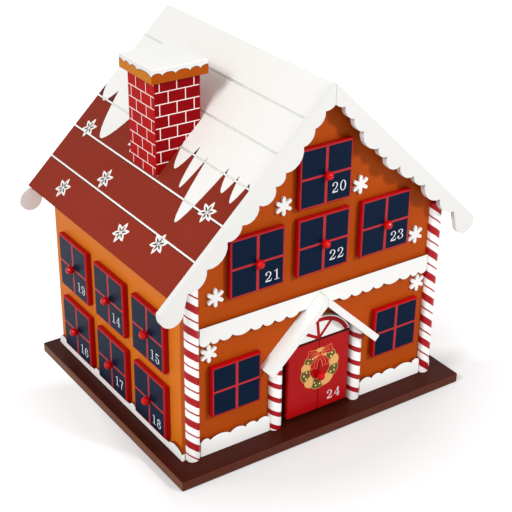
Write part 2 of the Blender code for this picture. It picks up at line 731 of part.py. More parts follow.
def build_side_bays():
    """Egg-crate bays that the side drawers stand in, one unit behind each side wall."""
    under_deck = GABLE_Z - TRAY_SIZE / 2 - SEAT_GAP - DECK_THICKNESS - SEAT_GAP
    outer = INNER_X
    inner = CENTRE_WIDTH / 2
    for name, side in (("left_drawer_bay", -1), ("right_drawer_bay", 1)):
        def board(label, xs, ys, zs):
            """One board of the bay, on this side of the house."""
            a, b = sorted(side * x for x in xs)
            return box_mesh(label, (a, ys[0], zs[0]), (b, ys[1], zs[1]))

        ends = (INNER_FRONT_Y, INNER_BACK_Y)
        panel = board("panel", (inner, inner + BAY_BOARD), ends, (FLOOR_Z, under_deck))
        others = []
        for middle_z in (LOWER_Z, UPPER_Z):
            shelf_top = middle_z - TRAY_SIZE / 2 - SEAT_GAP
            others.append(board("shelf", (inner + BAY_BOARD / 2, outer), ends,
                                (shelf_top - BAY_BOARD, shelf_top)))
        for first, second in zip(SIDE_COLUMN_YS, SIDE_COLUMN_YS[1:]):
            middle = (first + second) / 2
            others.append(board("divider", (inner + BAY_BOARD / 2, outer),
                                (middle - BAY_BOARD / 2, middle + BAY_BOARD / 2),
                                (FLOOR_Z, under_deck)))
        add_part(name, combined(name, panel, others, "UNION"), "raw_board")


def build_centre_bay():
    """The fixed frame in the middle: door compartment, rear bays, deck and attic shelf."""
    half = CENTRE_WIDTH / 2 - SEAT_GAP
    deck_top = GABLE_Z - TRAY_SIZE / 2 - SEAT_GAP
    deck_low = deck_top - DECK_THICKNESS
    attic_top = ATTIC_Z - TRAY_SIZE / 2 - SEAT_GAP
    attic_low = attic_top - DECK_THICKNESS
    head = (ROOF_THICKNESS + SEAT_GAP) / math.cos(SLOPE)
    attic_half = (RIDGE_Z - head - attic_top) / math.tan(SLOPE)
    tray_end = BACK_Y - DEEP_TRAY_LENGTH
    stop_high = tray_end - BAY_BOARD
    stop_low = stop_high - BAY_BOARD
    sunk = BAY_BOARD / 2
    door_floor = DOOR_Z - DOOR_TRAY_HEIGHT / 2 - SEAT_GAP
    cheek = DOOR_TRAY_WIDTH / 2 + RUNNING_CLEARANCE
    ends = (INNER_FRONT_Y, INNER_BACK_Y)

    def board(label, xs, ys, zs):
        """One board of the frame."""
        return box_mesh(label, (xs[0], ys[0], zs[0]), (xs[1], ys[1], zs[1]))

    deck = board("deck", (-INNER_X, INNER_X), ends, (deck_low, deck_top))
    others = [
        board("attic", (-attic_half, attic_half), ends, (attic_low, attic_top)),
        board("stop", (-half, half), (stop_low, stop_high), (FLOOR_Z, deck_low + sunk)),
        board("rear_divider", (-BAY_BOARD / 2, BAY_BOARD / 2), (stop_high - sunk, INNER_BACK_Y),
              (FLOOR_Z, deck_low + sunk)),
        board("door_floor", (-cheek - sunk, cheek + sunk), (INNER_FRONT_Y, stop_low + sunk),
              (door_floor - BAY_BOARD, door_floor)),
    ]
    for side in (-1, 1):
        middle = side * GABLE_PITCH / 2
        others.append(board("gable_divider", (middle - BAY_BOARD / 2, middle + BAY_BOARD / 2),
                            ends, (deck_top - sunk, attic_low + sunk)))
        a, b = sorted((side * cheek, side * (cheek + BAY_BOARD)))
        others.append(board("door_cheek", (a, b), (INNER_FRONT_Y, stop_low + sunk),
                            (FLOOR_Z, DOOR_Z + DOOR_TRAY_HEIGHT / 2)))
    for middle_z in (LOWER_Z, UPPER_Z):
        shelf_top = middle_z - TRAY_SIZE / 2 - SEAT_GAP
        others.append(board("rear_shelf", (-half, half), (stop_high - sunk, INNER_BACK_Y),
                            (shelf_top - BAY_BOARD, shelf_top)))
    add_part("centre_bay", combined("centre_bay", deck, others, "UNION"), "raw_board")


def knob_mesh(out_y):
    """A small turned ball that stands on the drawer front."""
    work = bmesh.new()
    place = Matrix.Translation((0.0, out_y, 0.0)) @ Matrix.Rotation(math.pi / 2, 4, "X")
    bmesh.ops.create_uvsphere(work, u_segments=KNOB_SEGMENTS, v_segments=KNOB_RINGS,
                              radius=KNOB_DIAMETER / 2, matrix=place)
    return mesh_from(work, "knob")


def drawer_mesh(name, width, height, tray_width, tray_height, tray_length):
    """A drawer with its front in XZ at the wall's face, opening along -Y, tray behind it."""
    front = eased_box_mesh(
        name,
        (-width / 2, -FRONT_THICKNESS, -height / 2),
        (width / 2, 0.0, height / 2),
        FRONT_EDGE_EASE,
    )
    sunk = FRONT_THICKNESS / 2
    outer = box_mesh(
        "tray",
        (-tray_width / 2, -sunk, -tray_height / 2),
        (tray_width / 2, tray_length, tray_height / 2),
    )
    inner = box_mesh(
        "hollow",
        (-tray_width / 2 + TRAY_WALL, SEAT_GAP, -tray_height / 2 + TRAY_WALL),
        (tray_width / 2 - TRAY_WALL, tray_length - TRAY_WALL, tray_height / 2 + CUT_OVERRUN),
    )
    knob = knob_mesh(-FRONT_THICKNESS - KNOB_STAND_OUT)
    tray = combined("tray", outer, [inner], "DIFFERENCE")
    return combined(name, front, [tray, knob], "UNION")


def door_mesh():
    """Drawer 24: a tall front with the seam of two door leaves down its middle."""
    body = drawer_mesh("drawer_24", DOOR_WIDTH, DOOR_HEIGHT, DOOR_TRAY_WIDTH, DOOR_TRAY_HEIGHT,
                       DEEP_TRAY_LENGTH)
    work = bmesh.new()
    long = DOOR_HEIGHT + 2 * CUT_OVERRUN
    half = DOOR_SEAM_WIDTH / 2
    place = Matrix.Translation((0.0, -FRONT_THICKNESS, 0.0)) @ Matrix.Diagonal(
        (half, DOOR_SEAM_DEPTH, 1.0, 1.0))
    bmesh.ops.create_cone(work, cap_ends=True, segments=4, radius1=1.0, radius2=1.0,
                          depth=long, matrix=place)
    groove = mesh_from(work, "seam")
    band = KNOB_DIAMETER / 2
    keep = box_mesh("keep", (-band, -2 * FRONT_THICKNESS, -band), (band, 0.0, band))
    groove = combined("seam", groove, [keep], "DIFFERENCE")
    return combined("drawer_24", body, [groove], "DIFFERENCE")


def drawer_places():
    """Number, position and turn of every drawer but 24."""
    places = []
    left_x, right_x = -HALF_HOUSE - SEAT_GAP, HALF_HOUSE + SEAT_GAP
    front_y, back_y = FRONT_Y - SEAT_GAP, BACK_Y + SEAT_GAP
    first, second, third = SIDE_COLUMN_YS
    quarter = math.pi / 2
    for number, y, z in ((19, third, UPPER_Z), (14, second, UPPER_Z), (15, first, UPPER_Z),
                         (16, third, LOWER_Z), (17, second, LOWER_Z), (18, first, LOWER_Z)):
        places.append((number, (left_x, y, z), -quarter, True))
    for number, y, z in ((8, first, UPPER_Z), (9, second, UPPER_Z), (10, third, UPPER_Z),
                         (11, first, LOWER_Z), (12, second, LOWER_Z), (13, third, LOWER_Z)):
        places.append((number, (right_x, y, z), quarter, True))
    for number, column in ((21, -1), (22, 0), (23, 1)):
        places.append((number, (column * GABLE_PITCH, front_y, GABLE_Z), 0.0, False))
    places.append((20, (0.0, front_y, ATTIC_Z), 0.0, False))
    for number, column in ((1, 1), (2, 0), (3, -1)):
        places.append((number, (column * GABLE_PITCH, back_y, GABLE_Z), math.pi, False))
    half = BACK_PITCH / 2
    for number, x, z in ((4, half, UPPER_Z), (5, -half, UPPER_Z),
                         (6, half, LOWER_Z), (7, -half, LOWER_Z)):
        places.append((number, (x, back_y, z), math.pi, False))
    return sorted(places)


def build_drawers():
    """All 24 drawers; those of one length share a mesh."""
    short = smooth(drawer_mesh("short_drawer", FRONT_SIZE, FRONT_SIZE, TRAY_SIZE, TRAY_SIZE,
                               SIDE_TRAY_LENGTH))
    deep = smooth(drawer_mesh("deep_drawer", FRONT_SIZE, FRONT_SIZE, TRAY_SIZE, TRAY_SIZE,
                              DEEP_TRAY_LENGTH))
    for number, position, turn, is_short in drawer_places():
        place = Matrix.Translation(position) @ Matrix.Rotation(turn, 4, "Z")
        add_part(f"drawer_{number:02d}", short if is_short else deep, "drawer_red", place)
    place = Matrix.Translation((0.0, FRONT_Y - SEAT_GAP, DOOR_Z))
    add_part("drawer_24", smooth(door_mesh()), "drawer_red", place)


clear_scene()
PARTS = make_collection("advent_calendar_house")
build_base()
build_gable_walls()
build_side_walls()
build_side_bays()
build_centre_bay()
build_roof()
build_fascias()
build_chimney()
build_columns()
build_porch()
build_windows()
build_snow_band()
build_front_drifts()
build_side_drifts()
build_snowflakes()
build_drawers()
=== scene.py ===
# Looks of the refillable advent calendar house: printed faces, paint, light and camera.
# Lengths are metres, angles are degrees, and colours are 0 to 255 per channel as they look.
import json
import math
from functools import partialmethod

import bmesh
import bpy
from mathutils import Matrix, Vector


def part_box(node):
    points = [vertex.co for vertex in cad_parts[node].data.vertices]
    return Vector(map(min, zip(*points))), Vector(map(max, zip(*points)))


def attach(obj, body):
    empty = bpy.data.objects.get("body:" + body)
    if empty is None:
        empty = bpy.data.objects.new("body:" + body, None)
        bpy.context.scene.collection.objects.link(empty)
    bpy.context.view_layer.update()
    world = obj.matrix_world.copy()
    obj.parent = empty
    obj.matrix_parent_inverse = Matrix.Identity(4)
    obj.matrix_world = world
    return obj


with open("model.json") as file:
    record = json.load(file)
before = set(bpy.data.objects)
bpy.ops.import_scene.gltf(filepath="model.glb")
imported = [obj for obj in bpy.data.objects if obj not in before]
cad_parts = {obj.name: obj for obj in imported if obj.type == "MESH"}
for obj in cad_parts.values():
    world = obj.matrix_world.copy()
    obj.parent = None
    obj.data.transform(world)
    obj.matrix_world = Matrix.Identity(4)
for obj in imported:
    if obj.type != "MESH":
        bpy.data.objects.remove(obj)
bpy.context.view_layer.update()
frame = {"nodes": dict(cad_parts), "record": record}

# Camera of the photograph
CAMERA_PLACE = (-0.5328, -0.7895, 0.6119)
CAMERA_AZIMUTH = -34.43
CAMERA_ELEVATION = 27.68
CAMERA_ROLL = 0.74
IMAGE_PIXELS = 512
FOCAL_PIXELS = 1248.55
SENSOR_WIDTH_MM = 36

# Light: strength of the even light, and the two lamps as place and width
AMBIENT = 0.52
LAMP_TARGET = (0.0, 0.0, 0.12)
LAMP_POWER = 20.5
LAMPS = {"key_left": ((-1.42, -0.40, 1.42), 0.6), "key_right": ((0.75, -1.50, 1.22), 0.3)}

# Printed sheets: how far the first layer stands proud, each further layer, and how deep they root
PRINT_PROUD = 0.00012
LAYER_STEP = 0.00006
PRINT_ROOT = 0.00012

# Drawer fronts, as in the part's source
FRONT_GAP = 0.0003
FRONT_THICKNESS = 0.005
FRONT_LAP = 0.0035
RUNNING_CLEARANCE = 0.0006
DRAWER_NUMBERS = {"back": range(1, 8), "right": range(8, 14), "left": range(14, 20), "front": range(20, 25)}
OUTWARD = {"front": (0, -1, 0), "back": (0, 1, 0), "left": (-1, 0, 0), "right": (1, 0, 0)}
DOOR_NUMBER = 24
# The back fascias take the brighter white as painted light against the roof's shade
NODES_OF_PAINTS = {"fascia_white": ("front_fascia_left", "front_fascia_right"),
                   "bright_snow": ("back_fascia_left", "back_fascia_right"),
                   "porch_snow": ("left_porch_roof", "right_porch_roof")}
EDGED_SNOW_SIDES = {"front_snow_band": "front", "left_front_drift": "front", "right_front_drift": "front",
                    "left_side_drift": "left", "right_side_drift": "right"}

# Window prints, with the places of the numbers from the window's middle
SHEET_MARGIN = 0.0011
SHEET_CORNER = 0.0012
PANE_BORDER = 0.0018
PANE_BAR = 0.0026
PANE_BAR_LEVEL = 0.0020
NUMBER_HEIGHT = 0.0090
NUMBER_OFFSET = (0.0127, -0.0135)
SHOWN_NUMBER_OFFSETS = {14: (0.0122, -0.0128), 15: (0.0118, -0.0149), 17: (0.0131, -0.0118),
                        18: (0.0115, -0.0147), 19: (0.0137, -0.0131), 20: (0.0124, -0.0126),
                        21: (0.0136, -0.0146), 22: (0.0128, -0.0130)}
DIGIT_PITCH_SHARE = 0.86
DOOR_NUMBER_HEIGHT = 0.0085
DOOR_PITCH_SHARE = 0.95
DOOR_NUMBER_OFFSET = (0.0164, -0.0239)
# Width of the painted shadow line along the door's top
DOOR_TOP_SHADOW_LINE = 0.0012

# Shares of a digit's height: hairline, stem, bar and ball
HAIR_SHARE = 0.046
STEM_SHARE = 0.112
BAR_SHARE = 0.105
BALL_SHARE = 0.092
DIGIT_WIDTH_SHARE = 0.72
DIGIT_STROKE_SHARES = {
    "0": [("bowl", (0.36, 0.50), (0.26, 0.465), 0, 360)],
    "1": [("stem", (0.38, 0.0), (0.38, 1.0)), ("hair", (0.38, 0.97), (0.12, 0.83)),
          ("hair", (0.12, 0.035), (0.64, 0.035))],
    "2": [("ball", (0.15, 0.73)), ("bowl", (0.35, 0.72), (0.25, 0.245), 180, -25),
          ("sweep", (0.575, 0.62), (0.44, 0.40), (0.22, 0.22), (0.08, 0.06)),
          ("bar", (0.06, 0.07), (0.64, 0.07)), ("hair", (0.64, 0.06), (0.68, 0.27))],
    "3": [("ball", (0.15, 0.77)), ("bowl", (0.33, 0.75), (0.23, 0.215), 180, -90),
          ("bowl", (0.33, 0.27), (0.28, 0.24), 90, -180), ("ball", (0.13, 0.26))],
    "4": [("stem", (0.47, 0.0), (0.47, 1.0)), ("hair", (0.47, 0.98), (0.04, 0.29)),
          ("hair", (0.04, 0.29), (0.70, 0.29)), ("hair", (0.28, 0.035), (0.66, 0.035))],
    "5": [("bar", (0.15, 0.93), (0.60, 0.93)), ("hair", (0.15, 0.95), (0.13, 0.50)),
          ("bowl", (0.34, 0.32), (0.27, 0.29), 140, -180), ("ball", (0.14, 0.25))],
    "6": [("ball", (0.58, 0.78)), ("bowl", (0.40, 0.49), (0.29, 0.465), 62, 190),
          ("bowl", (0.38, 0.31), (0.25, 0.28), 0, 360)],
    "7": [("bar", (0.08, 0.92), (0.64, 0.92)), ("hair", (0.08, 0.97), (0.07, 0.70)),
          ("sweep", (0.62, 0.88), (0.44, 0.56), (0.34, 0.28), (0.33, 0.0))],
    "8": [("bowl", (0.36, 0.745), (0.20, 0.225), 0, 360), ("bowl", (0.36, 0.27), (0.25, 0.24), 0, 360)],
    "9": [("ball", (0.14, 0.22)), ("bowl", (0.32, 0.51), (0.29, 0.465), 242, 370),
          ("bowl", (0.34, 0.69), (0.25, 0.28), 0, 360)],
}

# Roof: snow line, plank lines and stars, as shares of the roof's depth from the back and of its slope
PLANKS = 6
SNOWY_PLANKS = 3
LINE_WIDTH = 0.0014
LINE_SHADE_WIDTH = 0.0006
GROOVE_WIDTH = 0.0004
GROOVE_SPACING = 0.0011
CHIMNEY_SHADOW_REACH = 0.02
GROOVE_NOISE_SCALE = 1100.0
GROOVE_NOISE_LIMIT = 0.42
LINE_END_SHARE = 0.001
SNOW_TOP_SHARE = 0.0015
SLOPE_MARGIN = 0.1
DRIP_SHADE_STRENGTH = 0.75
SNOW_SPIKE_SHARES = ((0.002, 0.439), (0.093, 0.437), (0.274, 0.445), (0.390, 0.455), (0.579, 0.460),
                     (0.670, 0.455), (0.736, 0.475), (0.854, 0.469), (0.919, 0.473), (0.979, 0.478))
SNOW_DRIP_SHARES = ((0.052, 0.510), (0.184, 0.652), (0.335, 0.536), (0.483, 0.597), (0.631, 0.586),
                    (0.712, 0.638), (0.802, 0.757), (0.897, 0.567), (0.960, 0.582))
SNOW_FRONT_END_SHARE = 0.512
DRIP_ROUNDNESS = 0.58
DRIP_STEPS = 7
STAR_SHARES = ((0.089, 0.643), (0.189, 0.915), (0.357, 0.779), (0.375, 0.586), (0.612, 0.914),
               (0.804, 0.860), (0.900, 0.656))
RIDGE_SNOW = 0.0030
STAR_RADIUS = 0.0094
STAR_PETALS = 6
PETAL_WIDTH_SHARE = 0.46
PETAL_POWER = 0.8
PETAL_STEPS = 6
SLIT_START_SHARE = 0.16
SLIT_END_SHARE = 0.62
SLIT_WIDTH_SHARE = 0.16

# Chimney: bricks from its top and left corner, and the humps of its cap as shares of the cap's edge
BRICK_LENGTH = 0.0154
BRICK_HEIGHT = 0.0097
MORTAR = 0.0008
MORTAR_END_GAP = 0.0006
SIDE_COURSE_DROP = 0.0035
FIRST_COURSE = -0.0014
FIRST_JOINT = 0.0041
SIDE_JOINT_SHIFT = 0.0009
CAP_CUSP = 0.0057
CAP_HUMP_RISE = 0.0028
CAP_LINE = 0.0006
CAP_FRONT_SHARES = (0, 0.19, 0.42, 0.67, 0.85, 1.13)
CAP_SIDE_SHARES = (0, 0.43, 0.64, 0.83, 1.06)
CAP_UNEVENNESS = 0.0005
CAP_NOISE_SCALE = 70.0

# Candy stripes
POST_PITCH = 0.0134
POST_BAND_SHARE = 0.36
POST_FIRST_BANDS = {"left": 0.0782, "right": 0.0723}
STRIPE_TURN_SHARE = 0.78
COLUMN_PITCHES = {"left": 0.0209, "right": 0.0218}
COLUMN_BAND_SHARE = 0.33
COLUMN_LINE_SHARE = 0.075
COLUMN_FIRST_BANDS = {"left": 0.1482, "right": 0.1466}

# Fan window over the door
FAN_ARC_WIDTH = 0.0036
FAN_RIM = 0.0012
FAN_SPOKE_WIDTH = 0.0027
FAN_SPOKE_ANGLES = (49, 97, 150)
FAN_HUB_RADIUS = 0.0026
FAN_HUB_SHIFT = -0.0010

# Corners of a rectangle, and points along a whole arc, a bowl of a digit and a small disc
CORNERS = ((1, 1), (-1, 1), (-1, -1), (1, -1))
ARC_STEPS = 28
BOWL_STEPS = 24
DISC_STEPS = 12

# Floor: its glow for the camera, and how that grows outwards and to the object's left and right, where it
# paints light over the lamps' shadow
FLOOR_SIZE = 8.0
FLOOR_GLOW = 0.14
FLOOR_OUTWARDS = {"start": 0.165, "rise": 2.5, "most": 1.0}
FLOOR_LEFT = {"start": 0.12, "rise": 8.0, "most": 0.25}
FLOOR_LEFT_TURN = 0.25
FLOOR_RIGHT = {"start": -0.02, "rise": 8.0, "most": 0.27}
FLOOR_RIGHT_TURN = 0.5

# Paint and bare board: noise scales, relief, shades of spots, and how each paint differs from the usual
PAINT_RELIEF = 0.00004
GRAIN_SCALE = 700.0
GRAIN_DETAIL = 4.0
GRAIN_STRENGTH = 0.6
PATCH_SCALE = 87.5
CLOUD_SCALE = 45.0
FIBRE_SCALE = 900.0
FIBRE_DETAIL = 5.0
FIBRE_STRETCH = (1.0, 1.0, 0.35)
FIBRE_SHADE = 0.82
SPECK_SCALE = 1500.0
SPECK_LIMIT = 0.66
SPECK_STRENGTH = 0.5
SPECK_SHADE = 0.6
TRAY_SHADE = 0.8
TRAY_ROUGHNESS = 0.75
FRONT_ROUGHNESS = 0.32
KNOB_ROUGHNESS = 0.16
BOARD_PAINT = {"roughness": 0.78, "mottle": 0.06, "relief": 0.00008}
ROOF_PAINT = {"roughness": 0.5, "mottle": 0.06, "stretch": (1.0, 0.2, 1.0)}
ROOF_SNOW_PAINT = {"roughness": 0.5, "mottle": 0.02}
DRAWER_PAINT = {"spread": 0.03, "gloss": 0.12}
BRICK_PAINT = {"roughness": 0.42, "mottle": 0.04, "gloss": 0.03}
CAP_PAINT = {"mottle": 0.03}
CANDY_PAINT = {"roughness": 0.33, "mottle": 0.03, "gloss": 0.2}
BASE_PAINT = {"roughness": 0.4, "mottle": 0.06, "gloss": 0.07}
EVEN_PAINT = {"mottle": 0.01}
FLOOR_PAINT = {"roughness": 0.9, "mottle": 0.01, "relief": 0.00001}

# How neighbouring boards and bricks differ in tone
TONE_STEP = 0.618
COURSE_STEP = 7.3
ROOF_SHADE = 0.93
BRICK_SHADE = 0.85
BRICK_SHADE_STRENGTH = 0.3

# Part of a normal along an axis from which a surface faces that way, and from which a board's edge does
FACING = 0.5
EDGE_TILT = 0.2

# Wreath on the door, from the door's middle
WREATH_CENTRE = (0.0011, 0.0058)
WREATH_OUTER = 0.0184
WREATH_INNER = 0.0100
WREATH_EDGE = 0.0004
WREATH_BULGE = 0.0013
WREATH_SLANT = -5
WREATH_SECTION_ANGLES = (64, 30, -1, -39, -79, -117, -148, -186, -208, -242, -296)
WREATH_STEPS = 6
DOT_RADIUS = 0.0008
DOT_SHARES = ((0.25, 0.62, "cream"), (0.50, 0.30, "wreath_red"), (0.62, 0.74, "cream"),
              (0.84, 0.42, "cream"))
BOW_KNOT = (0.0008, 0.0204)
BOW_REACH = 0.0124
BOW_LINE = 0.0005
BOW_LOOP_SHARES = ((0.12, 0.11), (0.35, 0.31), (0.69, 0.40), (0.93, 0.43), (0.97, 0.15), (1.0, -0.19),
                   (0.71, -0.17), (0.39, -0.10), (0.13, -0.10))
BOW_TAIL_SHARES = ((0.02, -0.12), (0.45, -0.35), (0.78, -0.76), (0.67, -1.10), (0.47, -0.98), (0.24, -1.12),
                   (0.17, -0.66), (0.0, -0.40))
BOW_FOLD_SHARES = (((0.15, 0.06), (0.48, 0.17), (0.80, 0.24)), ((0.15, 0.0), (0.50, 0.03), (0.82, 0.03)),
                   ((0.16, -0.30), (0.42, -0.62), (0.50, -0.90)))
BOW_KNOT_SHARE = 0.14

# The standard curve from a channel as it looks to a linear one
CHANNEL_FULL = 255
SRGB_KNEE = 0.04045
SRGB_SLOPE = 12.92
SRGB_LIFT = 0.055
SRGB_GAMMA = 2.4

# Colours
GINGER = (213, 115, 27)
# Front wall orange, darker than the other walls' orange as painted shade
GINGER_FRONT_SHADED = (176, 73, 10)
SNOW = (240, 238, 235)
ROOF_SNOW = (234, 233, 229)
# Porch roof whites: darker on the face as painted shade, and cool on top to cancel the wall's warm bounce
# light
PORCH_FACE_SHADED_SNOW = (236, 234, 232)
PORCH_TOP_LIT_SNOW = (239, 247, 244)
SCORCHED = (66, 30, 12)
# Brighter white for parts that sit in shade (drifts, back fascias, the posts' white): painted light
BRIGHT_SNOW_PAINTED_LIGHT = (253, 252, 250)
BOARD_SNOW = (237, 236, 233)
FASCIA_WHITE = (226, 225, 222)
CAP_SNOW = (231, 230, 226)
# Snow on the cap's side faces, darker than on top as painted shade
CAP_SNOW_LIP_SHADED = (224, 223, 221)
CAP_LINE_BROWN = (108, 50, 10)
ROOF_BROWN = (139, 46, 30)
BASE_BROWN = (58, 18, 8)
BASE_EDGE = (84, 41, 29)
# Base sides, paler than the front edge as painted light
BASE_SIDE_LIT = (112, 66, 44)
FRONT_RED = (170, 6, 10)
KNOB_RED = (200, 8, 12)
SHEET_RED = (180, 45, 48)
PANE_NAVY = (8, 26, 49)
NUMBER_WHITE = (238, 240, 244)
CANDY_RED = (168, 16, 26)
BRICK = (136, 7, 14)
# Bricks on the chimney's side faces, brighter as painted light
BRICK_SIDE_LIT = (178, 8, 5)
MORTAR_WHITE = (246, 226, 222)
CAP_ORANGE = (166, 74, 5)
# Orange on the cap's left and right faces, lighter than on the front as painted light
CAP_ORANGE_SIDE_LIT = (192, 114, 20)
BOARD_TAN = (190, 152, 108)
LINE_DARK = (62, 34, 30)
# Dark of the painted shadow round the door and along its top
REVEAL_SHADOW = (46, 14, 8)
GROOVE_GREY = (168, 170, 162)
# Grooves inside the chimney's shadow: painted shadow
CHIMNEY_SHADOW_GROOVE = (44, 40, 34)
WREATH_GREEN = (94, 90, 38)
WREATH_TAN = (226, 172, 104)
WREATH_RED = (172, 26, 30)
BOW_LINE_TAN = (236, 128, 84)
CREAM = (244, 226, 180)
FLOOR_PALE = (208, 208, 208)
# Top face of the door, dark as painted shade
DOOR_TOP_SHADE_RED = (74, 6, 8)


def srgb(colour, shade=1.0):
    """Linear colour with alpha from 0 to 255 channels, darkened to a share."""
    def channel(value):
        value = value * shade / CHANNEL_FULL
        if value <= SRGB_KNEE:
            return value / SRGB_SLOPE
        return ((value + SRGB_LIFT) / (1 + SRGB_LIFT)) ** SRGB_GAMMA
    return tuple(channel(value) for value in colour) + (1.0,)


# Node trees

class Finish:
    """A material under construction: small calls add nodes and give back their outputs."""

    def __init__(self, name):
        self.material = bpy.data.materials.new(name)
        self.material.use_nodes = True
        self.nodes = self.material.node_tree.nodes
        self.links = self.material.node_tree.links
        self.shader = self.nodes["Principled BSDF"]

    def feed(self, socket, value):
        if isinstance(value, bpy.types.NodeSocket):
            self.links.new(value, socket)
        else:
            socket.default_value = value

    def split(self, kind, output):
        """A vector that a new node gives, as x, y and z."""
        split = self.nodes.new("ShaderNodeSeparateXYZ")
        self.links.new(self.nodes.new(kind).outputs[output], split.inputs[0])
        return split.outputs

    def place(self):
        """The object's own coordinates."""
        return self.split("ShaderNodeTexCoord", "Object")

    def normal(self):
        return self.split("ShaderNodeNewGeometry", "Normal")

    def math(self, operation, first, second=0.0):
        node = self.nodes.new("ShaderNodeMath")
        node.operation = operation
        self.feed(node.inputs[0], first)
        self.feed(node.inputs[1], second)
        return node.outputs[0]

    # Short names for the operations that the finishes use most
    plus = partialmethod(math, "ADD")
    minus = partialmethod(math, "SUBTRACT")
    times = partialmethod(math, "MULTIPLY")
    over = partialmethod(math, "DIVIDE")
    most = partialmethod(math, "MAXIMUM")
    least = partialmethod(math, "MINIMUM")
    above = partialmethod(math, "GREATER_THAN")
    below = partialmethod(math, "LESS_THAN")
    size = partialmethod(math, "ABSOLUTE")
    fraction = partialmethod(math, "FRACT")

    def faces(self, axis, limit=FACING):
        """1 where the surface faces along an axis, either way."""
        return self.above(self.size(self.normal()[axis]), limit)

    def between(self, value, low, high):
        """1 where low < value < high, else 0."""
        return self.times(self.above(value, low), self.below(value, high))

    def mix(self, share, first, second, blend="MIX"):
        node = self.nodes.new("ShaderNodeMix")
        node.data_type = "RGBA"
        node.blend_type = blend
        self.feed(node.inputs["Factor"], share)
        self.feed(node.inputs[6], first)
        self.feed(node.inputs[7], second)
        return node.outputs[2]

    def noise(self, scale, detail=3.0, stretch=(1, 1, 1)):
        coordinates = self.nodes.new("ShaderNodeTexCoord")
        mapping = self.nodes.new("ShaderNodeMapping")
        mapping.inputs["Scale"].default_value = stretch
        noise = self.nodes.new("ShaderNodeTexNoise")
        noise.inputs["Scale"].default_value = scale
        noise.inputs["Detail"].default_value = detail
        self.links.new(coordinates.outputs["Object"], mapping.inputs[0])
        self.links.new(mapping.outputs[0], noise.inputs["Vector"])
        return noise.outputs[0]

    def span(self, value, low, high):
        """Turn a 0 to 1 value into the range low to high."""
        node = self.nodes.new("ShaderNodeMapRange")
        self.feed(node.inputs["Value"], value)
        node.inputs["To Min"].default_value = low
        node.inputs["To Max"].default_value = high
        return node.outputs[0]

    def mottle(self, colour, amount):
        """The colour with slow lighter and darker clouds of the given amount."""
        cloud = self.span(self.noise(CLOUD_SCALE), 1 - amount, 1 + amount)
        return self.mix(1.0, colour, cloud, "MULTIPLY")

    def paint(self, colour, roughness=0.45, spread=0.08, relief=PAINT_RELIEF, mottle=0.05, gloss=0.06,
              stretch=(1, 1, 1)):
        """Finish with a mottled colour, uneven gloss and the fine relief of rolled paint."""
        self.shader.inputs["Specular IOR Level"].default_value = gloss
        self.links.new(self.mottle(colour, mottle), self.shader.inputs["Base Color"])
        patches = self.noise(PATCH_SCALE, stretch=stretch)
        if isinstance(roughness, bpy.types.NodeSocket):
            uneven = self.plus(roughness, self.span(patches, -spread, spread))
        else:
            uneven = self.span(patches, roughness - spread, roughness + spread)
        self.links.new(uneven, self.shader.inputs["Roughness"])
        bump = self.nodes.new("ShaderNodeBump")
        bump.inputs["Distance"].default_value = relief
        bump.inputs["Strength"].default_value = GRAIN_STRENGTH
        self.links.new(self.noise(GRAIN_SCALE, GRAIN_DETAIL, stretch), bump.inputs["Height"])
        self.links.new(bump.outputs[0], self.shader.inputs["Normal"])
        return self.material


# Materials

def plain_paint(name, colour, mottle=0.04, **options):
    return Finish(name).paint(srgb(colour), mottle=mottle, **options)


def raw_board(name):
    """Bare fibreboard: short fibres and darker specks."""
    finish = Finish(name)
    fibres = finish.noise(FIBRE_SCALE, FIBRE_DETAIL, FIBRE_STRETCH)
    specks = finish.above(finish.noise(SPECK_SCALE), SPECK_LIMIT)
    light = finish.mix(fibres, srgb(BOARD_TAN), srgb(BOARD_TAN, FIBRE_SHADE))
    dark = finish.mix(finish.times(specks, SPECK_STRENGTH), light, srgb(BOARD_TAN, SPECK_SHADE))
    return finish.paint(dark, **BOARD_PAINT)


def roof_boards(name):
    """Brown printed boards, darker between the drips of snow, with bare edges."""
    finish = Finish(name)
    ridge, slope_up = slope_frame("left")[:2]
    down = finish.over(finish.minus(ridge.z, finish.place()["Z"]), slope_up.z)
    board = finish.math("FLOOR", finish.over(down, PLANK_WIDTH))
    tone = finish.fraction(finish.times(board, TONE_STEP))
    brown = finish.mix(tone, srgb(ROOF_BROWN), srgb(ROOF_BROWN, ROOF_SHADE))
    line = SNOWY_PLANKS * PLANK_WIDTH
    between_drips = finish.times(finish.between(down, line - PLANK_WIDTH / 2, line), DRIP_SHADE_STRENGTH)
    brown = finish.mix(between_drips, brown, srgb(LINE_DARK))
    flat = finish.faces("Z", (slope_up.z + abs(slope_up.x)) / 2 - SLOPE_MARGIN)
    edge = finish.faces("Y")
    colour = finish.mix(finish.times(flat, finish.minus(1.0, edge)), srgb(BOARD_TAN), brown)
    colour = finish.mix(finish.below(down, RIDGE_SNOW), colour, srgb(SNOW))
    return finish.paint(colour, **ROOF_PAINT)


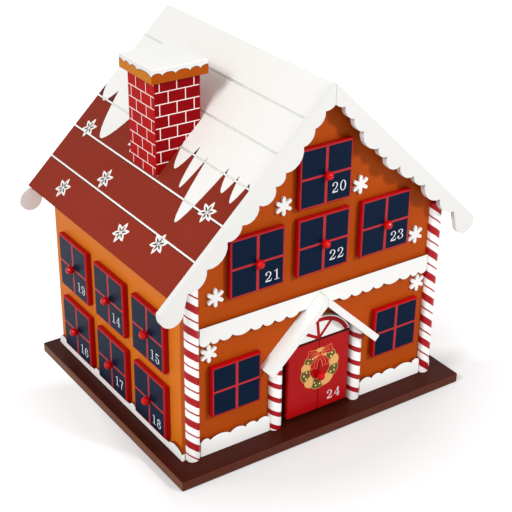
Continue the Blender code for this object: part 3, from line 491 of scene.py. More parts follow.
def drawer_finish(name, side, shaded_top=False):
    """One drawer node: bare tray inside, painted front board, glossy knob outside."""
    finish = Finish(name)
    axis, sign = outward_axis(side)
    reach = finish.times(finish.minus(finish.place()["XY"[axis]], wall_face(side)), sign)
    painted = finish.above(reach, 2 * FRONT_GAP)
    knob = finish.above(reach, FRONT_GAP + FRONT_THICKNESS + PRINT_PROUD)
    noise = finish.noise(FIBRE_SCALE, FIBRE_DETAIL)
    fibres = finish.mix(noise, srgb(BOARD_TAN), srgb(BOARD_TAN, TRAY_SHADE))
    paint = srgb(FRONT_RED)
    # On the door the top face is painted dark red: painted shade under the fan window.
    if shaded_top:
        top = finish.times(finish.above(finish.normal()["Z"], FACING), finish.minus(1.0, knob))
        paint = finish.mix(top, srgb(FRONT_RED), srgb(DOOR_TOP_SHADE_RED))
    paint = finish.mix(knob, paint, srgb(KNOB_RED))
    colour = finish.mix(painted, fibres, paint)
    rough = finish.minus(TRAY_ROUGHNESS, finish.times(painted, TRAY_ROUGHNESS - FRONT_ROUGHNESS))
    rough = finish.minus(rough, finish.times(knob, FRONT_ROUGHNESS - KNOB_ROUGHNESS))
    return finish.paint(colour, roughness=rough, **DRAWER_PAINT)


def brickwork(name):
    """Printed bricks in running bond with pale mortar lines that stop short of the corners; the side faces
    are painted a brighter red as painted light.
    """
    finish = Finish(name)
    low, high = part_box("chimney_stack")
    place = finish.place()
    side = finish.faces("X")
    front = finish.minus(1.0, side)
    from_x = finish.times(finish.minus(place["X"], low.x), front)
    from_y = finish.times(finish.minus(place["Y"], low.y), side)
    along = finish.plus(from_x, from_y)
    width = finish.plus(finish.times(front, high.x - low.x), finish.times(side, high.y - low.y))
    down = finish.minus(finish.minus(high.z, place["Z"]), finish.times(side, SIDE_COURSE_DROP))
    courses = finish.over(finish.minus(down, FIRST_COURSE), BRICK_HEIGHT)
    course = finish.math("FLOOR", courses)
    odd = finish.math("FLOORED_MODULO", course, 2.0)
    shift = finish.times(finish.plus(odd, side), BRICK_LENGTH / 2)
    first_joint = finish.plus(finish.times(side, SIDE_JOINT_SHIFT), FIRST_JOINT)
    bricks = finish.over(finish.plus(finish.minus(along, first_joint), shift), BRICK_LENGTH)
    across_joint = finish.below(finish.fraction(bricks), MORTAR / BRICK_LENGTH)
    bed_joint = finish.below(finish.fraction(courses), MORTAR / BRICK_HEIGHT)
    to_edge = finish.least(along, finish.minus(width, along))
    joint = finish.times(finish.most(across_joint, bed_joint), finish.above(to_edge, MORTAR_END_GAP))
    number = finish.plus(finish.math("FLOOR", bricks), finish.times(course, COURSE_STEP))
    tone = finish.fraction(finish.times(number, TONE_STEP))
    # Side faces brighter red: painted light.
    brick = finish.mix(side, srgb(BRICK), srgb(BRICK_SIDE_LIT))
    brick = finish.mix(finish.times(tone, BRICK_SHADE_STRENGTH), brick, srgb(BRICK, BRICK_SHADE))
    colour = finish.mix(joint, brick, srgb(MORTAR_WHITE))
    return finish.paint(colour, **BRICK_PAINT)


def humps(finish, along, length, shares):
    """Height of a row of round humps, zero to one, where each reaches from one share to the next."""
    height = 0.0
    for start, end in zip(shares, shares[1:]):
        half = (end - start) / 2 * length
        middle = (start + end) / 2 * length
        off_middle = finish.over(finish.minus(along, middle), half)
        fall = finish.times(off_middle, off_middle)
        bulge = finish.math("SQRT", finish.most(finish.minus(1.0, fall), 0.0))
        height = finish.most(height, bulge)
    return height


def cap_finish(name):
    """Orange cap under snow whose lower edge is cut by rounded orange humps; the orange on its left and
    right faces is painted lighter as painted light, and the snow on its side faces darker than on top as
    painted shade.
    """
    finish = Finish(name)
    low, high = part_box("chimney_cap")
    place = finish.place()
    side = finish.faces("X")
    front_humps = humps(finish, finish.minus(place["X"], low.x), high.x - low.x, CAP_FRONT_SHARES)
    side_humps = humps(finish, finish.minus(place["Y"], low.y), high.y - low.y, CAP_SIDE_SHARES)
    bulge = finish.plus(finish.times(front_humps, finish.minus(1.0, side)), finish.times(side_humps, side))
    uneven = finish.span(finish.noise(CAP_NOISE_SCALE, 0.0), -CAP_UNEVENNESS, CAP_UNEVENNESS)
    edge = finish.plus(finish.plus(finish.times(bulge, CAP_HUMP_RISE), CAP_CUSP + low.z), uneven)
    top = finish.above(finish.normal()["Z"], FACING)
    snowy = finish.most(finish.above(place["Z"], edge), top)
    outlined = finish.above(place["Z"], finish.minus(edge, CAP_LINE))
    # Left and right faces lighter, and the snow on the side faces darker: painted light and shade.
    orange = finish.mix(side, srgb(CAP_ORANGE), srgb(CAP_ORANGE_SIDE_LIT))
    orange = finish.mix(outlined, orange, srgb(CAP_LINE_BROWN))
    colour = finish.mix(snowy, orange, finish.mix(top, srgb(CAP_SNOW_LIP_SHADED), srgb(CAP_SNOW)))
    return finish.paint(colour, **CAP_PAINT)


def candy_finish(name, node, pitch, band_share, first_band, line_share=0.0):
    """White post with red bands that wind round it, and a fine line between two bands."""
    finish = Finish(name)
    low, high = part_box(node)
    middle = (low + high) / 2
    place = finish.place()
    sideways = finish.minus(place["X"], middle.x)
    forward = finish.minus(middle.y, place["Y"])
    angle = finish.times(finish.math("ARCTAN2", sideways, forward), STRIPE_TURN_SHARE / math.tau)
    turns = finish.over(finish.minus(place["Z"], first_band), pitch)
    phase = finish.fraction(finish.plus(finish.plus(turns, angle), band_share / 2))
    red = finish.below(phase, band_share)
    if line_share:
        middle_phase = band_share + (1 - band_share) / 2
        line = finish.between(phase, middle_phase - line_share / 2, middle_phase + line_share / 2)
        red = finish.most(red, line)
    # The white between the bands is the brighter white: painted light.
    colour = finish.mix(red, srgb(BRIGHT_SNOW_PAINTED_LIGHT), srgb(CANDY_RED))
    return finish.paint(colour, **CANDY_PAINT)


def base_finish(name):
    """Dark brown board with paler brown edges, palest on the sides, where the extra paleness is painted
    light.
    """
    finish = Finish(name)
    edge = finish.below(finish.size(finish.normal()["Z"]), FACING)
    # The sides' extra paleness over the front edge is painted light.
    edge_brown = finish.mix(finish.faces("X"), srgb(BASE_EDGE), srgb(BASE_SIDE_LIT))
    colour = finish.mix(edge, srgb(BASE_BROWN), edge_brown)
    return finish.paint(colour, **BASE_PAINT)


def porch_finish(name):
    """White board with painted light and shade: a little less bright on its front face than on top, and
    tinted cool on top against the warm light thrown back from the wall.
    """
    finish = Finish(name)
    colour = finish.mix(finish.faces("Y", EDGE_TILT), srgb(PORCH_TOP_LIT_SNOW), srgb(PORCH_FACE_SHADED_SNOW))
    return finish.paint(colour, **EVEN_PAINT)


def edged_snow(name, node, side, white):
    """White board whose cut edges, top and bottom, are scorched brown towards its face."""
    finish = Finish(name)
    axis, sign = outward_axis(side)
    low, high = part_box(node)
    reach = finish.times(finish.minus(finish.place()["XY"[axis]], wall_face(side)), sign)
    share = finish.over(reach, (high - low)[axis])
    # Towards the back the cut edge takes the front wall's orange, which is darkened as painted shade.
    scorch = finish.mix(finish.times(share, share), srgb(GINGER_FRONT_SHADED), srgb(SCORCHED))
    return finish.paint(finish.mix(finish.faces("Z", EDGE_TILT), srgb(white), scorch), **EVEN_PAINT)


def fan_finish(name):
    """White face with a bare wooden rim."""
    finish = Finish(name)
    return finish.paint(finish.mix(finish.faces("Y"), srgb(BOARD_TAN), srgb(SNOW)))


def snow_sheet_finish(name, past_stack):
    """Painted snow over faint double grooves, which are darkened beside the chimney as painted shadow."""
    finish = Finish(name)
    place = finish.place()
    down = finish.times(place["Y"], -1.0)
    share = finish.fraction(finish.plus(finish.over(down, PLANK_WIDTH), 0.5))
    off_line = finish.size(finish.times(finish.minus(share, 0.5), PLANK_WIDTH))
    off_groove = finish.size(finish.minus(off_line, GROOVE_SPACING / 2))
    groove = finish.times(finish.below(off_groove, GROOVE_WIDTH / 2), finish.above(down, PLANK_WIDTH / 2))
    unbroken = finish.above(finish.noise(GROOVE_NOISE_SCALE), GROOVE_NOISE_LIMIT)
    line = srgb(GROOVE_GREY)
    # Beside the chimney the grooves are darkened and unbroken: painted shadow.
    if past_stack:
        low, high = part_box("chimney_stack")
        ahead = finish.plus(low.y, place["X"])
        chimney_shadow = finish.minus(1.0, finish.over(ahead, CHIMNEY_SHADOW_REACH))
        chimney_shadow = finish.least(finish.most(chimney_shadow, 0.0), 1.0)
        chimney_shadow = finish.times(chimney_shadow, finish.above(ahead, low.y - high.y))
        line = finish.mix(chimney_shadow, line, srgb(CHIMNEY_SHADOW_GROOVE))
        unbroken = finish.most(unbroken, chimney_shadow)
    colour = finish.mix(finish.times(groove, unbroken), srgb(ROOF_SNOW), line)
    return finish.paint(colour, **ROOF_SNOW_PAINT)


# Flat printed shapes

def arc(centre, radii, start, end, steps=ARC_STEPS):
    """Points on an ellipse from one angle to another."""
    points = []
    for step in range(steps + 1):
        angle = math.radians(start + (end - start) * step / steps)
        points.append(Vector(centre) + Vector((radii[0] * math.cos(angle), radii[1] * math.sin(angle))))
    return points


def rounded_outline(width, height, radius, steps=4):
    """Counter-clockwise rectangle with round corners, about the origin."""
    points = []
    for turn, (right, up) in enumerate(CORNERS):
        corner = (right * (width / 2 - radius), up * (height / 2 - radius))
        points += arc(corner, (radius, radius), 90 * turn, 90 * turn + 90, steps)
    return points


def direction(angle):
    """Unit vector at an angle in degrees."""
    return Vector((math.cos(math.radians(angle)), math.sin(math.radians(angle))))


def smooth_path(points, steps=5):
    """Catmull-Rom curve through the given points."""
    points = [Vector(point) for point in points]
    ends = [2 * points[0] - points[1]] + points + [2 * points[-1] - points[-2]]
    path = []
    for before, first, second, after in zip(ends, ends[1:], ends[2:], ends[3:]):
        for step in range(steps):
            share = step / steps
            path.append(0.5 * (2 * first + (second - before) * share
                               + (2 * before - 5 * first + 4 * second - after) * share ** 2
                               + (3 * first - before - 3 * second + after) * share ** 3))
    return path + [points[-1]]


def add(name, data):
    """A new object in the scene."""
    item = bpy.data.objects.new(name, data)
    bpy.context.scene.collection.objects.link(item)
    return item


class Print:
    """Thin closed plates in the plane of one face: x to the viewer's right, y up, z outwards."""

    def __init__(self, materials):
        self.mesh = bmesh.new()
        self.materials = materials

    def paint(self, faces, material):
        for face in faces:
            face.material_index = self.materials.index(material)

    def levels(self, outline, layer):
        top = PRINT_PROUD + LAYER_STEP * layer
        upper = [self.mesh.verts.new((point[0], point[1], top)) for point in outline]
        lower = [self.mesh.verts.new((point[0], point[1], -PRINT_ROOT)) for point in outline]
        return upper, lower

    def plate(self, outline, material, layer=0):
        """A filled outline."""
        upper, lower = self.levels(outline, layer)
        faces = [self.mesh.faces.new(upper), self.mesh.faces.new(lower[::-1])]
        for index, corner in enumerate(upper):
            faces.append(self.mesh.faces.new((upper[index - 1], lower[index - 1], lower[index], corner)))
        self.paint(faces, material)

    def ribbon(self, path, widths, material, layer=0, closed=False):
        """A band along a path, with its width given at each point."""
        left, right = [], []
        count = len(path)
        for index, point in enumerate(path):
            before = path[(index - 1) % count] if closed or index else point
            after = path[(index + 1) % count] if closed or index < count - 1 else point
            across = Vector((before[1] - after[1], after[0] - before[0])).normalized() * widths[index] / 2
            left.append(Vector(point) + across)
            right.append(Vector(point) - across)
        left_top, left_low = self.levels(left, layer)
        right_top, right_low = self.levels(right, layer)
        rails = [left_top, right_top, right_low, left_low]
        faces = []
        for first in range(count if closed else count - 1):
            second = (first + 1) % count
            for one, other in zip(rails, rails[1:] + rails[:1]):
                faces.append(self.mesh.faces.new((one[first], other[first], other[second], one[second])))
        if not closed:
            for end in (0, -1):
                faces.append(self.mesh.faces.new([rail[end] for rail in reversed(rails)]))
        self.paint(faces, material)

    def band(self, path, width, material, layer=0):
        """A ribbon of one width."""
        self.ribbon([Vector(point) for point in path], [width] * len(path), material, layer)

    def rectangle(self, centre, width, height, material, layer=0):
        outline = [(centre[0] + right * width / 2, centre[1] + up * height / 2) for right, up in CORNERS]
        self.plate(outline, material, layer)

    def disc(self, centre, radius, material, layer=0):
        self.plate(arc(centre, (radius, radius), 0, 360, DISC_STEPS)[:-1], material, layer)

    def digit(self, figure, corner, height, material, layer):
        """One numeral with thick stems and hairlines, its lower left corner given."""
        def at(share):
            return Vector(corner) + Vector(share) * height

        def nib(path):
            widths = []
            for index, point in enumerate(path):
                step = path[min(index + 1, len(path) - 1)] - path[max(index - 1, 0)]
                rise = abs(step.y) / step.length
                widths.append(height * (HAIR_SHARE + (STEM_SHARE - HAIR_SHARE) * rise ** 2))
            return widths

        for kind, *values in DIGIT_STROKE_SHARES[figure]:
            if kind == "ball":
                self.disc(at(values[0]), BALL_SHARE * height, material, layer)
            elif kind == "bowl":
                centre, radii, start, end = values
                whole = abs(end - start) == 360
                path = arc(at(centre), Vector(radii) * height, start, end, BOWL_STEPS)
                path = path[:-1] if whole else path
                self.ribbon(path, nib(path), material, layer, closed=whole)
            elif kind == "sweep":
                path = smooth_path([at(value) for value in values])
                self.ribbon(path, nib(path), material, layer)
            else:
                width = {"stem": STEM_SHARE, "hair": HAIR_SHARE, "bar": BAR_SHARE}[kind] * height
                self.band([at(value) for value in values], width, material, layer)

    def number(self, text, centre, height, material, layer, pitch_share=DIGIT_PITCH_SHARE):
        """A number, centred on a point."""
        pitch = pitch_share * height
        width = pitch * (len(text) - 1) + DIGIT_WIDTH_SHARE * height
        for index, figure in enumerate(text):
            corner = (centre[0] - width / 2 + pitch * index, centre[1] - height / 2)
            self.digit(figure, corner, height, material, layer)

    def finish(self, name, matrix, body, slot):
        """Close the mesh, place it on its face and hand it to its body."""
        bmesh.ops.recalc_face_normals(self.mesh, faces=self.mesh.faces)
        data = bpy.data.meshes.new(name)
        self.mesh.to_mesh(data)
        self.mesh.free()
        for material in self.materials:
            data.materials.append(MATERIALS[material])
        piece = add(name, data)
        piece.matrix_world = matrix
        bpy.context.view_layer.update()
        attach(piece, body)
        return piece


def facing(out, centre, up=(0, 0, 1)):
    """Matrix of a face: x to the viewer's right, y up, z outwards."""
    out = Vector(out)
    up = Vector(up)
    turn = Matrix((up.cross(out), up, out)).transposed().to_4x4()
    return Matrix.Translation(Vector(centre)) @ turn


def outward_axis(side):
    """Axis that a side faces along, and which way."""
    axis = 0 if OUTWARD[side][0] else 1
    return axis, OUTWARD[side][axis]


def wall_face(side):
    """Place of a wall's outer face along its own axis."""
    low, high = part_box(side + "_wall")
    axis, sign = outward_axis(side)
    return high[axis] if sign > 0 else low[axis]


def board_face(node, side):
    """Matrix of a front board's face, with the board's width and height."""
    low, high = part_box(node)
    axis, sign = outward_axis(side)
    middle = (low + high) / 2
    middle[axis] = wall_face(side) + sign * (FRONT_GAP + FRONT_THICKNESS)
    width = (high - low)[1 - axis]
    return facing(OUTWARD[side], middle), width, high.z - low.z


# Window prints on the drawers and fixed windows

def window_print(name, matrix, width, height, body, text=""):
    """Red sheet with four dark panes and a number."""
    sheet = Print(["sheet_red", "pane_navy", "number_white"])
    outline = rounded_outline(width - 2 * SHEET_MARGIN, height - 2 * SHEET_MARGIN, SHEET_CORNER)
    sheet.plate(outline, "sheet_red")
    pane_width = width / 2 - PANE_BORDER - PANE_BAR / 2
    pane_height = height / 2 - PANE_BORDER - PANE_BAR_LEVEL / 2
    for right in (-1, 1):
        for up in (-1, 1):
            centre = (right * (PANE_BAR + pane_width) / 2, up * (PANE_BAR_LEVEL + pane_height) / 2)
            sheet.rectangle(centre, pane_width, pane_height, "pane_navy", 1)
    if text:
        offset = SHOWN_NUMBER_OFFSETS.get(int(text), NUMBER_OFFSET)
        sheet.number(text, offset, NUMBER_HEIGHT, "number_white", 2)
    sheet.finish(name, matrix, body, "drawer_red")


def all_windows():
    """Prints of the numbered drawers and of the two fixed windows."""
    for side, numbers in DRAWER_NUMBERS.items():
        for number in numbers:
            if number != DOOR_NUMBER:
                node = f"drawer_{number:02d}"
                matrix, width, height = board_face(node, side)
                window_print(f"window_print_{number:02d}", matrix, width, height,
                             f"numbered_drawer_{number:02d}", str(number))
    for node in ("left_fixed_window", "right_fixed_window"):
        matrix, width, height = board_face(node, "front")
        window_print(node + "_print", matrix, width, height, "house")


# Wreath, bow and number on the door

def around_wreath(radius, angle):
    return Vector(WREATH_CENTRE) + direction(angle) * radius


def wreath_section(sheet, start, end, material, inset, layer):
    """One section of the ring with a swelling outer edge, smaller by an inset all round."""
    inner = WREATH_INNER + inset
    outer = WREATH_OUTER - inset
    trim = math.copysign(math.degrees(inset / WREATH_OUTER), end - start)
    outline = []
    for step in range(WREATH_STEPS + 1):
        share = step / WREATH_STEPS
        angle = start + trim + (end - start - 2 * trim) * share
        outline.append(around_wreath(outer + WREATH_BULGE * math.sin(math.pi * share), angle))
    trim *= WREATH_OUTER / WREATH_INNER
    for step in range(WREATH_STEPS, -1, -1):
        angle = start + trim + (end - start - 2 * trim) * step / WREATH_STEPS + WREATH_SLANT
        outline.append(around_wreath(inner, angle))
    sheet.plate(outline, material, layer)


def wreath(sheet):
    """Green sections with dots and ribbon sections by turns."""
    for index, (start, end) in enumerate(zip(WREATH_SECTION_ANGLES, WREATH_SECTION_ANGLES[1:])):
        wreath_section(sheet, start, end, "wreath_tan", 0, 0)
        if index % 2 == 0:
            wreath_section(sheet, start, end, "wreath_green", WREATH_EDGE, 1)
            for turn_share, radius_share, colour in DOT_SHARES:
                radius = WREATH_INNER + (WREATH_OUTER - WREATH_INNER) * radius_share
                sheet.disc(around_wreath(radius, start + (end - start) * turn_share), DOT_RADIUS, colour, 2)


def bow(sheet):
    """Two loops and two tails in red, drawn round and folded with fine tan lines."""
    knot = Vector(BOW_KNOT)

    def at(side, share):
        return knot + Vector((side * share[0], share[1])) * BOW_REACH

    for side in (-1, 1):
        for shape in (BOW_TAIL_SHARES, BOW_LOOP_SHARES):
            points = [at(side, share) for share in shape]
            sheet.plate(points, "wreath_red", 3)
            sheet.ribbon(points, [BOW_LINE] * len(points), "bow_line", 4, closed=True)
        for fold in BOW_FOLD_SHARES:
            sheet.band([at(side, share) for share in fold], BOW_LINE, "bow_line", 4)
    sheet.disc(knot, BOW_KNOT_SHARE * BOW_REACH, "bow_line", 5)
    sheet.disc(knot, BOW_KNOT_SHARE * BOW_REACH - BOW_LINE, "wreath_red", 6)


def door_print():
    """Wreath, bow and number, with a dark line of painted shadow along the door's top."""
    sheet = Print(["wreath_tan", "wreath_green", "cream", "wreath_red", "bow_line", "number_white",
                   "reveal_shadow"])
    node = f"drawer_{DOOR_NUMBER}"
    matrix, width, height = board_face(node, "front")
    wreath(sheet)
    bow(sheet)
    sheet.rectangle((0, height / 2 - SHEET_MARGIN / 2), width - SHEET_MARGIN, DOOR_TOP_SHADOW_LINE, "reveal_shadow")
    sheet.number(str(DOOR_NUMBER), DOOR_NUMBER_OFFSET, DOOR_NUMBER_HEIGHT, "number_white", 0,
                 DOOR_PITCH_SHARE)
    sheet.finish("door_print", matrix, f"numbered_drawer_{DOOR_NUMBER}", "drawer_red")


def door_reveal():
    """Painted shadow: a dark sheet on the wall round the door and down to the base, where the gap lies in
    shade, open where the tray passes.
    """
    low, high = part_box(f"drawer_{DOOR_NUMBER}")
    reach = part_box("right_porch_post")[0].x - FRONT_GAP
    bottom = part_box("base_board")[1].z + FRONT_GAP
    top = high.z + SHEET_MARGIN
    inset = FRONT_LAP - RUNNING_CLEARANCE
    hole = high.x - inset
    sheet = Print(["reveal_shadow"])
    for side in (-1, 1):
        sheet.rectangle((side * (hole + reach) / 2, (bottom + top) / 2), reach - hole, top - bottom,
                        "reveal_shadow")
    for lower, upper in ((bottom, low.z + inset), (high.z - inset, top)):
        sheet.rectangle((0, (lower + upper) / 2), 2 * hole, upper - lower, "reveal_shadow")
    sheet.finish("door_reveal", facing(OUTWARD["front"], (0, wall_face("front"), 0)), "house",
                 "gingerbread")


# Fan window

def fan_print():
    """Red rim and spokes of the window over the door."""
    low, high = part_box("fan_window")
    half = (high.x - low.x) / 2
    rise = high.z - low.z
    radius = (half ** 2 + rise ** 2) / (2 * rise)
    sill = rise - radius
    sheet = Print(["candy_red"])
    rim = radius - FAN_RIM - FAN_ARC_WIDTH / 2
    reach = math.degrees(math.acos(-sill / rim))
    circle = arc((0, sill), (rim, rim), 90 - reach, 90 + reach)
    sheet.band(circle, FAN_ARC_WIDTH, "candy_red")
    hub_centre = Vector((FAN_HUB_SHIFT, 0))
    to_centre = Vector((0, sill)) - hub_centre
    for angle in FAN_SPOKE_ANGLES:
        turn = direction(angle)
        along = turn.dot(to_centre)
        length = along + math.sqrt(rim ** 2 - to_centre.length_squared + along ** 2)
        sheet.band([hub_centre, hub_centre + turn * length], FAN_SPOKE_WIDTH, "candy_red", 1)
    hub = arc(hub_centre, (FAN_HUB_RADIUS, FAN_HUB_RADIUS), 0, 180, DISC_STEPS)
    sheet.plate(hub, "candy_red", 2)
    matrix = facing(OUTWARD["front"], ((low.x + high.x) / 2, low.y, low.z))
    sheet.finish("fan_window_print", matrix, "house", "snow_white")


# Roof

def slope_frame(side):
    """Ridge point, direction up the slope and normal of one roof panel."""
    node = frame["nodes"][f"{side}_roof_panel"]
    upper = [face for face in node.data.polygons if face.normal.z > SLOPE_MARGIN]
    broadest = max(upper, key=lambda face: face.area)
    out = broadest.normal.copy()
    up = Vector((-math.copysign(out.z, out.x), 0, abs(out.x)))
    centre = broadest.center
    ridge = centre - up * (centre.x / up.x)
    ridge.y = 0
    return ridge, up, out


def drip_side(spike, tip):
    """Edge of an icicle from a spike to its rounded tip, both as (along, down)."""
    points = []
    for step in range(DRIP_STEPS):
        left_over = (1 - step / DRIP_STEPS) ** 2
        down = tip[1] + (spike[1] - tip[1]) * left_over
        along = tip[0] + (spike[0] - tip[0]) * left_over ** DRIP_ROUNDNESS
        points.append((along, down))
    return points


def snow_outline():
    """The snow's edge on the roof, as shares: along from the back, down from the ridge."""
    points = [(0.0, SNOW_TOP_SHARE), (0.0, SNOW_SPIKE_SHARES[0][1])]
    for spike, tip, after in zip(SNOW_SPIKE_SHARES, SNOW_DRIP_SHARES, SNOW_SPIKE_SHARES[1:]):
        points += drip_side(spike, tip)
        points.append(tip)
        points += drip_side(after, tip)[:0:-1]
    points.append(SNOW_SPIKE_SHARES[-1])
    points += [(1.0, SNOW_FRONT_END_SHARE), (1.0, SNOW_TOP_SHARE)]
    return points


def petal(centre, angle, radius):
    """Pointed leaf from the middle of a star outwards."""
    out = direction(angle)
    across = Vector((-out.y, out.x))
    half = radius * PETAL_WIDTH_SHARE / 2
    edge = []
    for step in range(PETAL_STEPS + 1):
        share = step / PETAL_STEPS
        width = half * math.sin(math.pi * share ** PETAL_POWER) ** PETAL_POWER if 0 < share < 1 else 0.0
        edge.append((share, width))
    right_side = [centre + out * radius * share - across * width for share, width in edge]
    left_side = [centre + out * radius * share + across * width for share, width in edge[-2:0:-1]]
    return right_side + left_side


def star(sheet, centre):
    """Six pointed petals with a dark slit in each."""
    centre = Vector(centre)
    for index in range(STAR_PETALS):
        angle = 90 + 360 / STAR_PETALS * index
        sheet.plate(petal(centre, angle, STAR_RADIUS), "star_white", 2)
        middle_share = (SLIT_START_SHARE + SLIT_END_SHARE) / 2
        slit = [centre + direction(angle) * STAR_RADIUS * share
                for share in (SLIT_START_SHARE, middle_share, SLIT_END_SHARE)]
        width = STAR_RADIUS * SLIT_WIDTH_SHARE
        sheet.ribbon(slit, [width / 2, width, width / 3], "line_dark", 3)


def roof_print(side):
    """Snow with icicles, plank lines and stars on one slope."""
    ridge, up, out = slope_frame(side)
    back_to_front = -1 if side == "left" else 1
    low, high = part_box("left_roof_panel")

    def at(along_share, down_share):
        y = high.y + (low.y - high.y) * along_share
        return Vector((back_to_front * y, -PLANKS * PLANK_WIDTH * down_share))

    matrix = facing(out, ridge, up)
    snow = Print([f"{side}_roof_snow"])
    snow.plate([at(*point) for point in snow_outline()], f"{side}_roof_snow", 1)
    snow.finish(f"{side}_roof_snow", matrix, "house", "snow_white")
    marks = Print(["star_white", "line_dark"])
    for plank in range(SNOWY_PLANKS, PLANKS):
        down_share = plank / PLANKS
        ends = [at(LINE_END_SHARE, down_share), at(1 - LINE_END_SHARE, down_share)]
        marks.band(ends, LINE_WIDTH, "star_white", 0)
        # A thin dark band of painted shadow under each white plank line
        below = Vector((0, (LINE_WIDTH + LINE_SHADE_WIDTH) / 2))
        marks.band([end - below for end in ends], LINE_SHADE_WIDTH, "line_dark", 0)
    for share in STAR_SHARES:
        star(marks, at(*share))
    marks.finish(f"{side}_roof_marks", matrix, "house", "snow_white")


# Dressing the carried-over nodes

def dress_nodes():
    """Give each node its own finish, or else the one of its material slot."""
    for record in frame["record"]["subparts"]:
        node = record["node"]
        material = NODE_FINISHES.get(node, MATERIALS[record["material_slot"]])
        frame["nodes"][node].material_slots[0].material = material


# Stage, light and camera

def choose_for_camera(tree, other, shown, output):
    """Show one shader to the camera, to gloss and through glass, and use the other for all other light."""
    path = tree.nodes.new("ShaderNodeLightPath")
    seen = path.outputs["Is Camera Ray"]
    for ray in ("Is Glossy Ray", "Is Transmission Ray"):
        either = tree.nodes.new("ShaderNodeMath")
        either.operation = "MAXIMUM"
        tree.links.new(seen, either.inputs[0])
        tree.links.new(path.outputs[ray], either.inputs[1])
        seen = either.outputs[0]
    choose = tree.nodes.new("ShaderNodeMixShader")
    for source, socket in zip((seen, other.outputs[0], shown.outputs[0]), choose.inputs):
        tree.links.new(source, socket)
    tree.links.new(choose.outputs[0], tree.nodes[output].inputs["Surface"])


def ramp(finish, distance, start, rise, most):
    """Zero up to a start, then rising with the distance, but not past the most."""
    return finish.least(finish.times(finish.most(finish.minus(distance, start), 0.0), rise), most)


def floor():
    """Plain pale floor that stays white to the camera and keeps the object's shadow near it, with painted
    light over the shadow to its left and right.
    """
    data = bpy.data.meshes.new("floor")
    half = FLOOR_SIZE / 2
    data.from_pydata([(right * half, back * half, 0) for right, back in CORNERS], [], [range(4)])
    finish = Finish("floor")
    finish.paint(srgb(FLOOR_PALE), **FLOOR_PAINT)
    nodes, links = finish.nodes, finish.links
    glow = nodes.new("ShaderNodeEmission")
    x, y = finish.place()[:2]
    radius = finish.math("SQRT", finish.plus(finish.times(x, x), finish.times(y, y)))
    # Painted light: the glow grows towards the object's left and right to wash out the lamps' shadow there.
    to_left = finish.minus(finish.times(y, FLOOR_LEFT_TURN), x)
    to_right = finish.plus(finish.times(x, FLOOR_RIGHT_TURN), y)
    growth = 0.0
    for distance, options in ((radius, FLOOR_OUTWARDS), (to_left, FLOOR_LEFT), (to_right, FLOOR_RIGHT)):
        growth = finish.plus(growth, ramp(finish, distance, **options))
    links.new(finish.plus(FLOOR_GLOW, finish.least(growth, 1.0)), glow.inputs["Strength"])
    both = nodes.new("ShaderNodeAddShader")
    links.new(finish.shader.outputs[0], both.inputs[0])
    links.new(glow.outputs[0], both.inputs[1])
    choose_for_camera(finish.material.node_tree, finish.shader, both, "Material Output")
    data.materials.append(finish.material)
    piece = add("floor", data)


def world_light():
    """Even pale light, with a white background for the camera and for gloss."""
    world = bpy.data.worlds.new("studio")
    world.use_nodes = True
    bpy.context.scene.world = world
    ambient = world.node_tree.nodes["Background"]
    white = world.node_tree.nodes.new("ShaderNodeBackground")
    for background, strength in ((ambient, AMBIENT), (white, 1.0)):
        background.inputs["Color"].default_value = (1.0, 1.0, 1.0, 1.0)
        background.inputs["Strength"].default_value = strength
    choose_for_camera(world.node_tree, ambient, white, "World Output")


def soft_lamp(name, place, size):
    data = bpy.data.lights.new(name, "AREA")
    data.shape = "DISK"
    data.size = size
    data.energy = LAMP_POWER
    lamp = add(name, data)
    lamp.location = place
    lamp.rotation_euler = (Vector(LAMP_TARGET) - Vector(place)).to_track_quat("-Z", "Y").to_euler()


def camera():
    """The photograph's camera."""
    data = bpy.data.cameras.new("camera")
    data.sensor_width = SENSOR_WIDTH_MM
    data.lens = FOCAL_PIXELS / IMAGE_PIXELS * SENSOR_WIDTH_MM
    item = add("camera", data)
    azimuth = Matrix.Rotation(math.radians(CAMERA_AZIMUTH), 4, "Z")
    elevation = Matrix.Rotation(math.radians(90 - CAMERA_ELEVATION), 4, "X")
    roll = Matrix.Rotation(math.radians(CAMERA_ROLL), 4, "Z")
    item.matrix_world = Matrix.Translation(CAMERA_PLACE) @ azimuth @ elevation @ roll
    bpy.context.scene.camera = item


# Paints by their slots, and the nodes that have a finish of their own

PLAIN_PAINTS = {
    "gingerbread": (GINGER, {}),
    "snow_white": (SNOW, {"mottle": 0.02}),
    "drawer_red": (FRONT_RED, {"roughness": FRONT_ROUGHNESS}),
    "candy_red": (CANDY_RED, {"roughness": 0.38}),
    "sheet_red": (SHEET_RED, {"roughness": 0.36}),
    "pane_navy": (PANE_NAVY, {"roughness": 0.34, "mottle": 0.10, "gloss": 0.03}),
    "number_white": (NUMBER_WHITE, {}),
    "bright_snow": (BRIGHT_SNOW_PAINTED_LIGHT, {"mottle": 0.01}),
    "fascia_white": (FASCIA_WHITE, {"mottle": 0.02}),
    "star_white": (SNOW, {"mottle": 0.02}),
    "line_dark": (LINE_DARK, {"gloss": 0.02}),
    "wreath_green": (WREATH_GREEN, {"mottle": 0.12}),
    "wreath_tan": (WREATH_TAN, {"mottle": 0.08}),
    "wreath_red": (WREATH_RED, {"mottle": 0.08}),
    "cream": (CREAM, {}),
    "bow_line": (BOW_LINE_TAN, {}),
    "reveal_shadow": (REVEAL_SHADOW, {}),
}
PLANK_WIDTH = -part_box("left_roof_panel")[0].x / slope_frame("left")[1].x / PLANKS
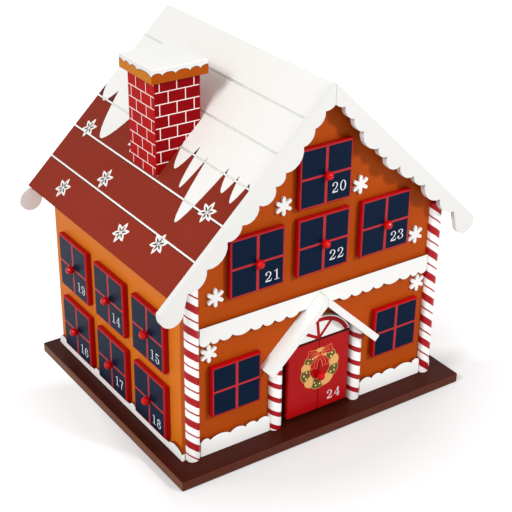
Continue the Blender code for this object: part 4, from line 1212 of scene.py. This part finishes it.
MATERIALS = {name: plain_paint(name, colour, **options) for name, (colour, options) in PLAIN_PAINTS.items()}
for name, make in {"roof_brown": roof_boards, "base_brown": base_finish, "brick_red": brickwork,
                   "cap_orange": cap_finish, "raw_board": raw_board, "porch_snow": porch_finish}.items():
    MATERIALS[name] = make(name)
MATERIALS["left_roof_snow"] = snow_sheet_finish("left_roof_snow", True)
MATERIALS["right_roof_snow"] = snow_sheet_finish("right_roof_snow", False)
# The front wall's darker orange is painted shade.
NODE_FINISHES = {"front_wall": plain_paint("gingerbread_front_shaded", GINGER_FRONT_SHADED),
                 "fan_window": fan_finish("fan")}
for paint, nodes in NODES_OF_PAINTS.items():
    NODE_FINISHES.update({node: MATERIALS[paint] for node in nodes})
for node, side in EDGED_SNOW_SIDES.items():
    # The drifts take the brighter white as painted light; the band keeps the board white.
    white = BOARD_SNOW if node == "front_snow_band" else BRIGHT_SNOW_PAINTED_LIGHT
    NODE_FINISHES[node] = edged_snow(node + "_paint", node, side, white)
for side in ("left", "right"):
    NODE_FINISHES[f"{side}_porch_post"] = candy_finish(
        f"{side}_post_stripes", f"{side}_porch_post", POST_PITCH, POST_BAND_SHARE,
        POST_FIRST_BANDS[side])
    NODE_FINISHES[f"{side}_candy_column"] = candy_finish(
        f"{side}_column_stripes", f"{side}_candy_column", COLUMN_PITCHES[side], COLUMN_BAND_SHARE,
        COLUMN_FIRST_BANDS[side], COLUMN_LINE_SHARE)
for side, numbers in DRAWER_NUMBERS.items():
    side_finish = drawer_finish(f"drawer_{side}", side)
    for number in numbers:
        NODE_FINISHES[f"drawer_{number:02d}"] = side_finish
NODE_FINISHES[f"drawer_{DOOR_NUMBER}"] = drawer_finish("drawer_door", "front", shaded_top=True)

# The whole scene

bpy.context.scene.view_settings.view_transform = "Standard"
dress_nodes()
all_windows()
door_print()
door_reveal()
fan_print()
for side in ("left", "right"):
    roof_print(side)
floor()
world_light()
for name, (place, size) in LAMPS.items():
    soft_lamp(name, place, size)
camera()
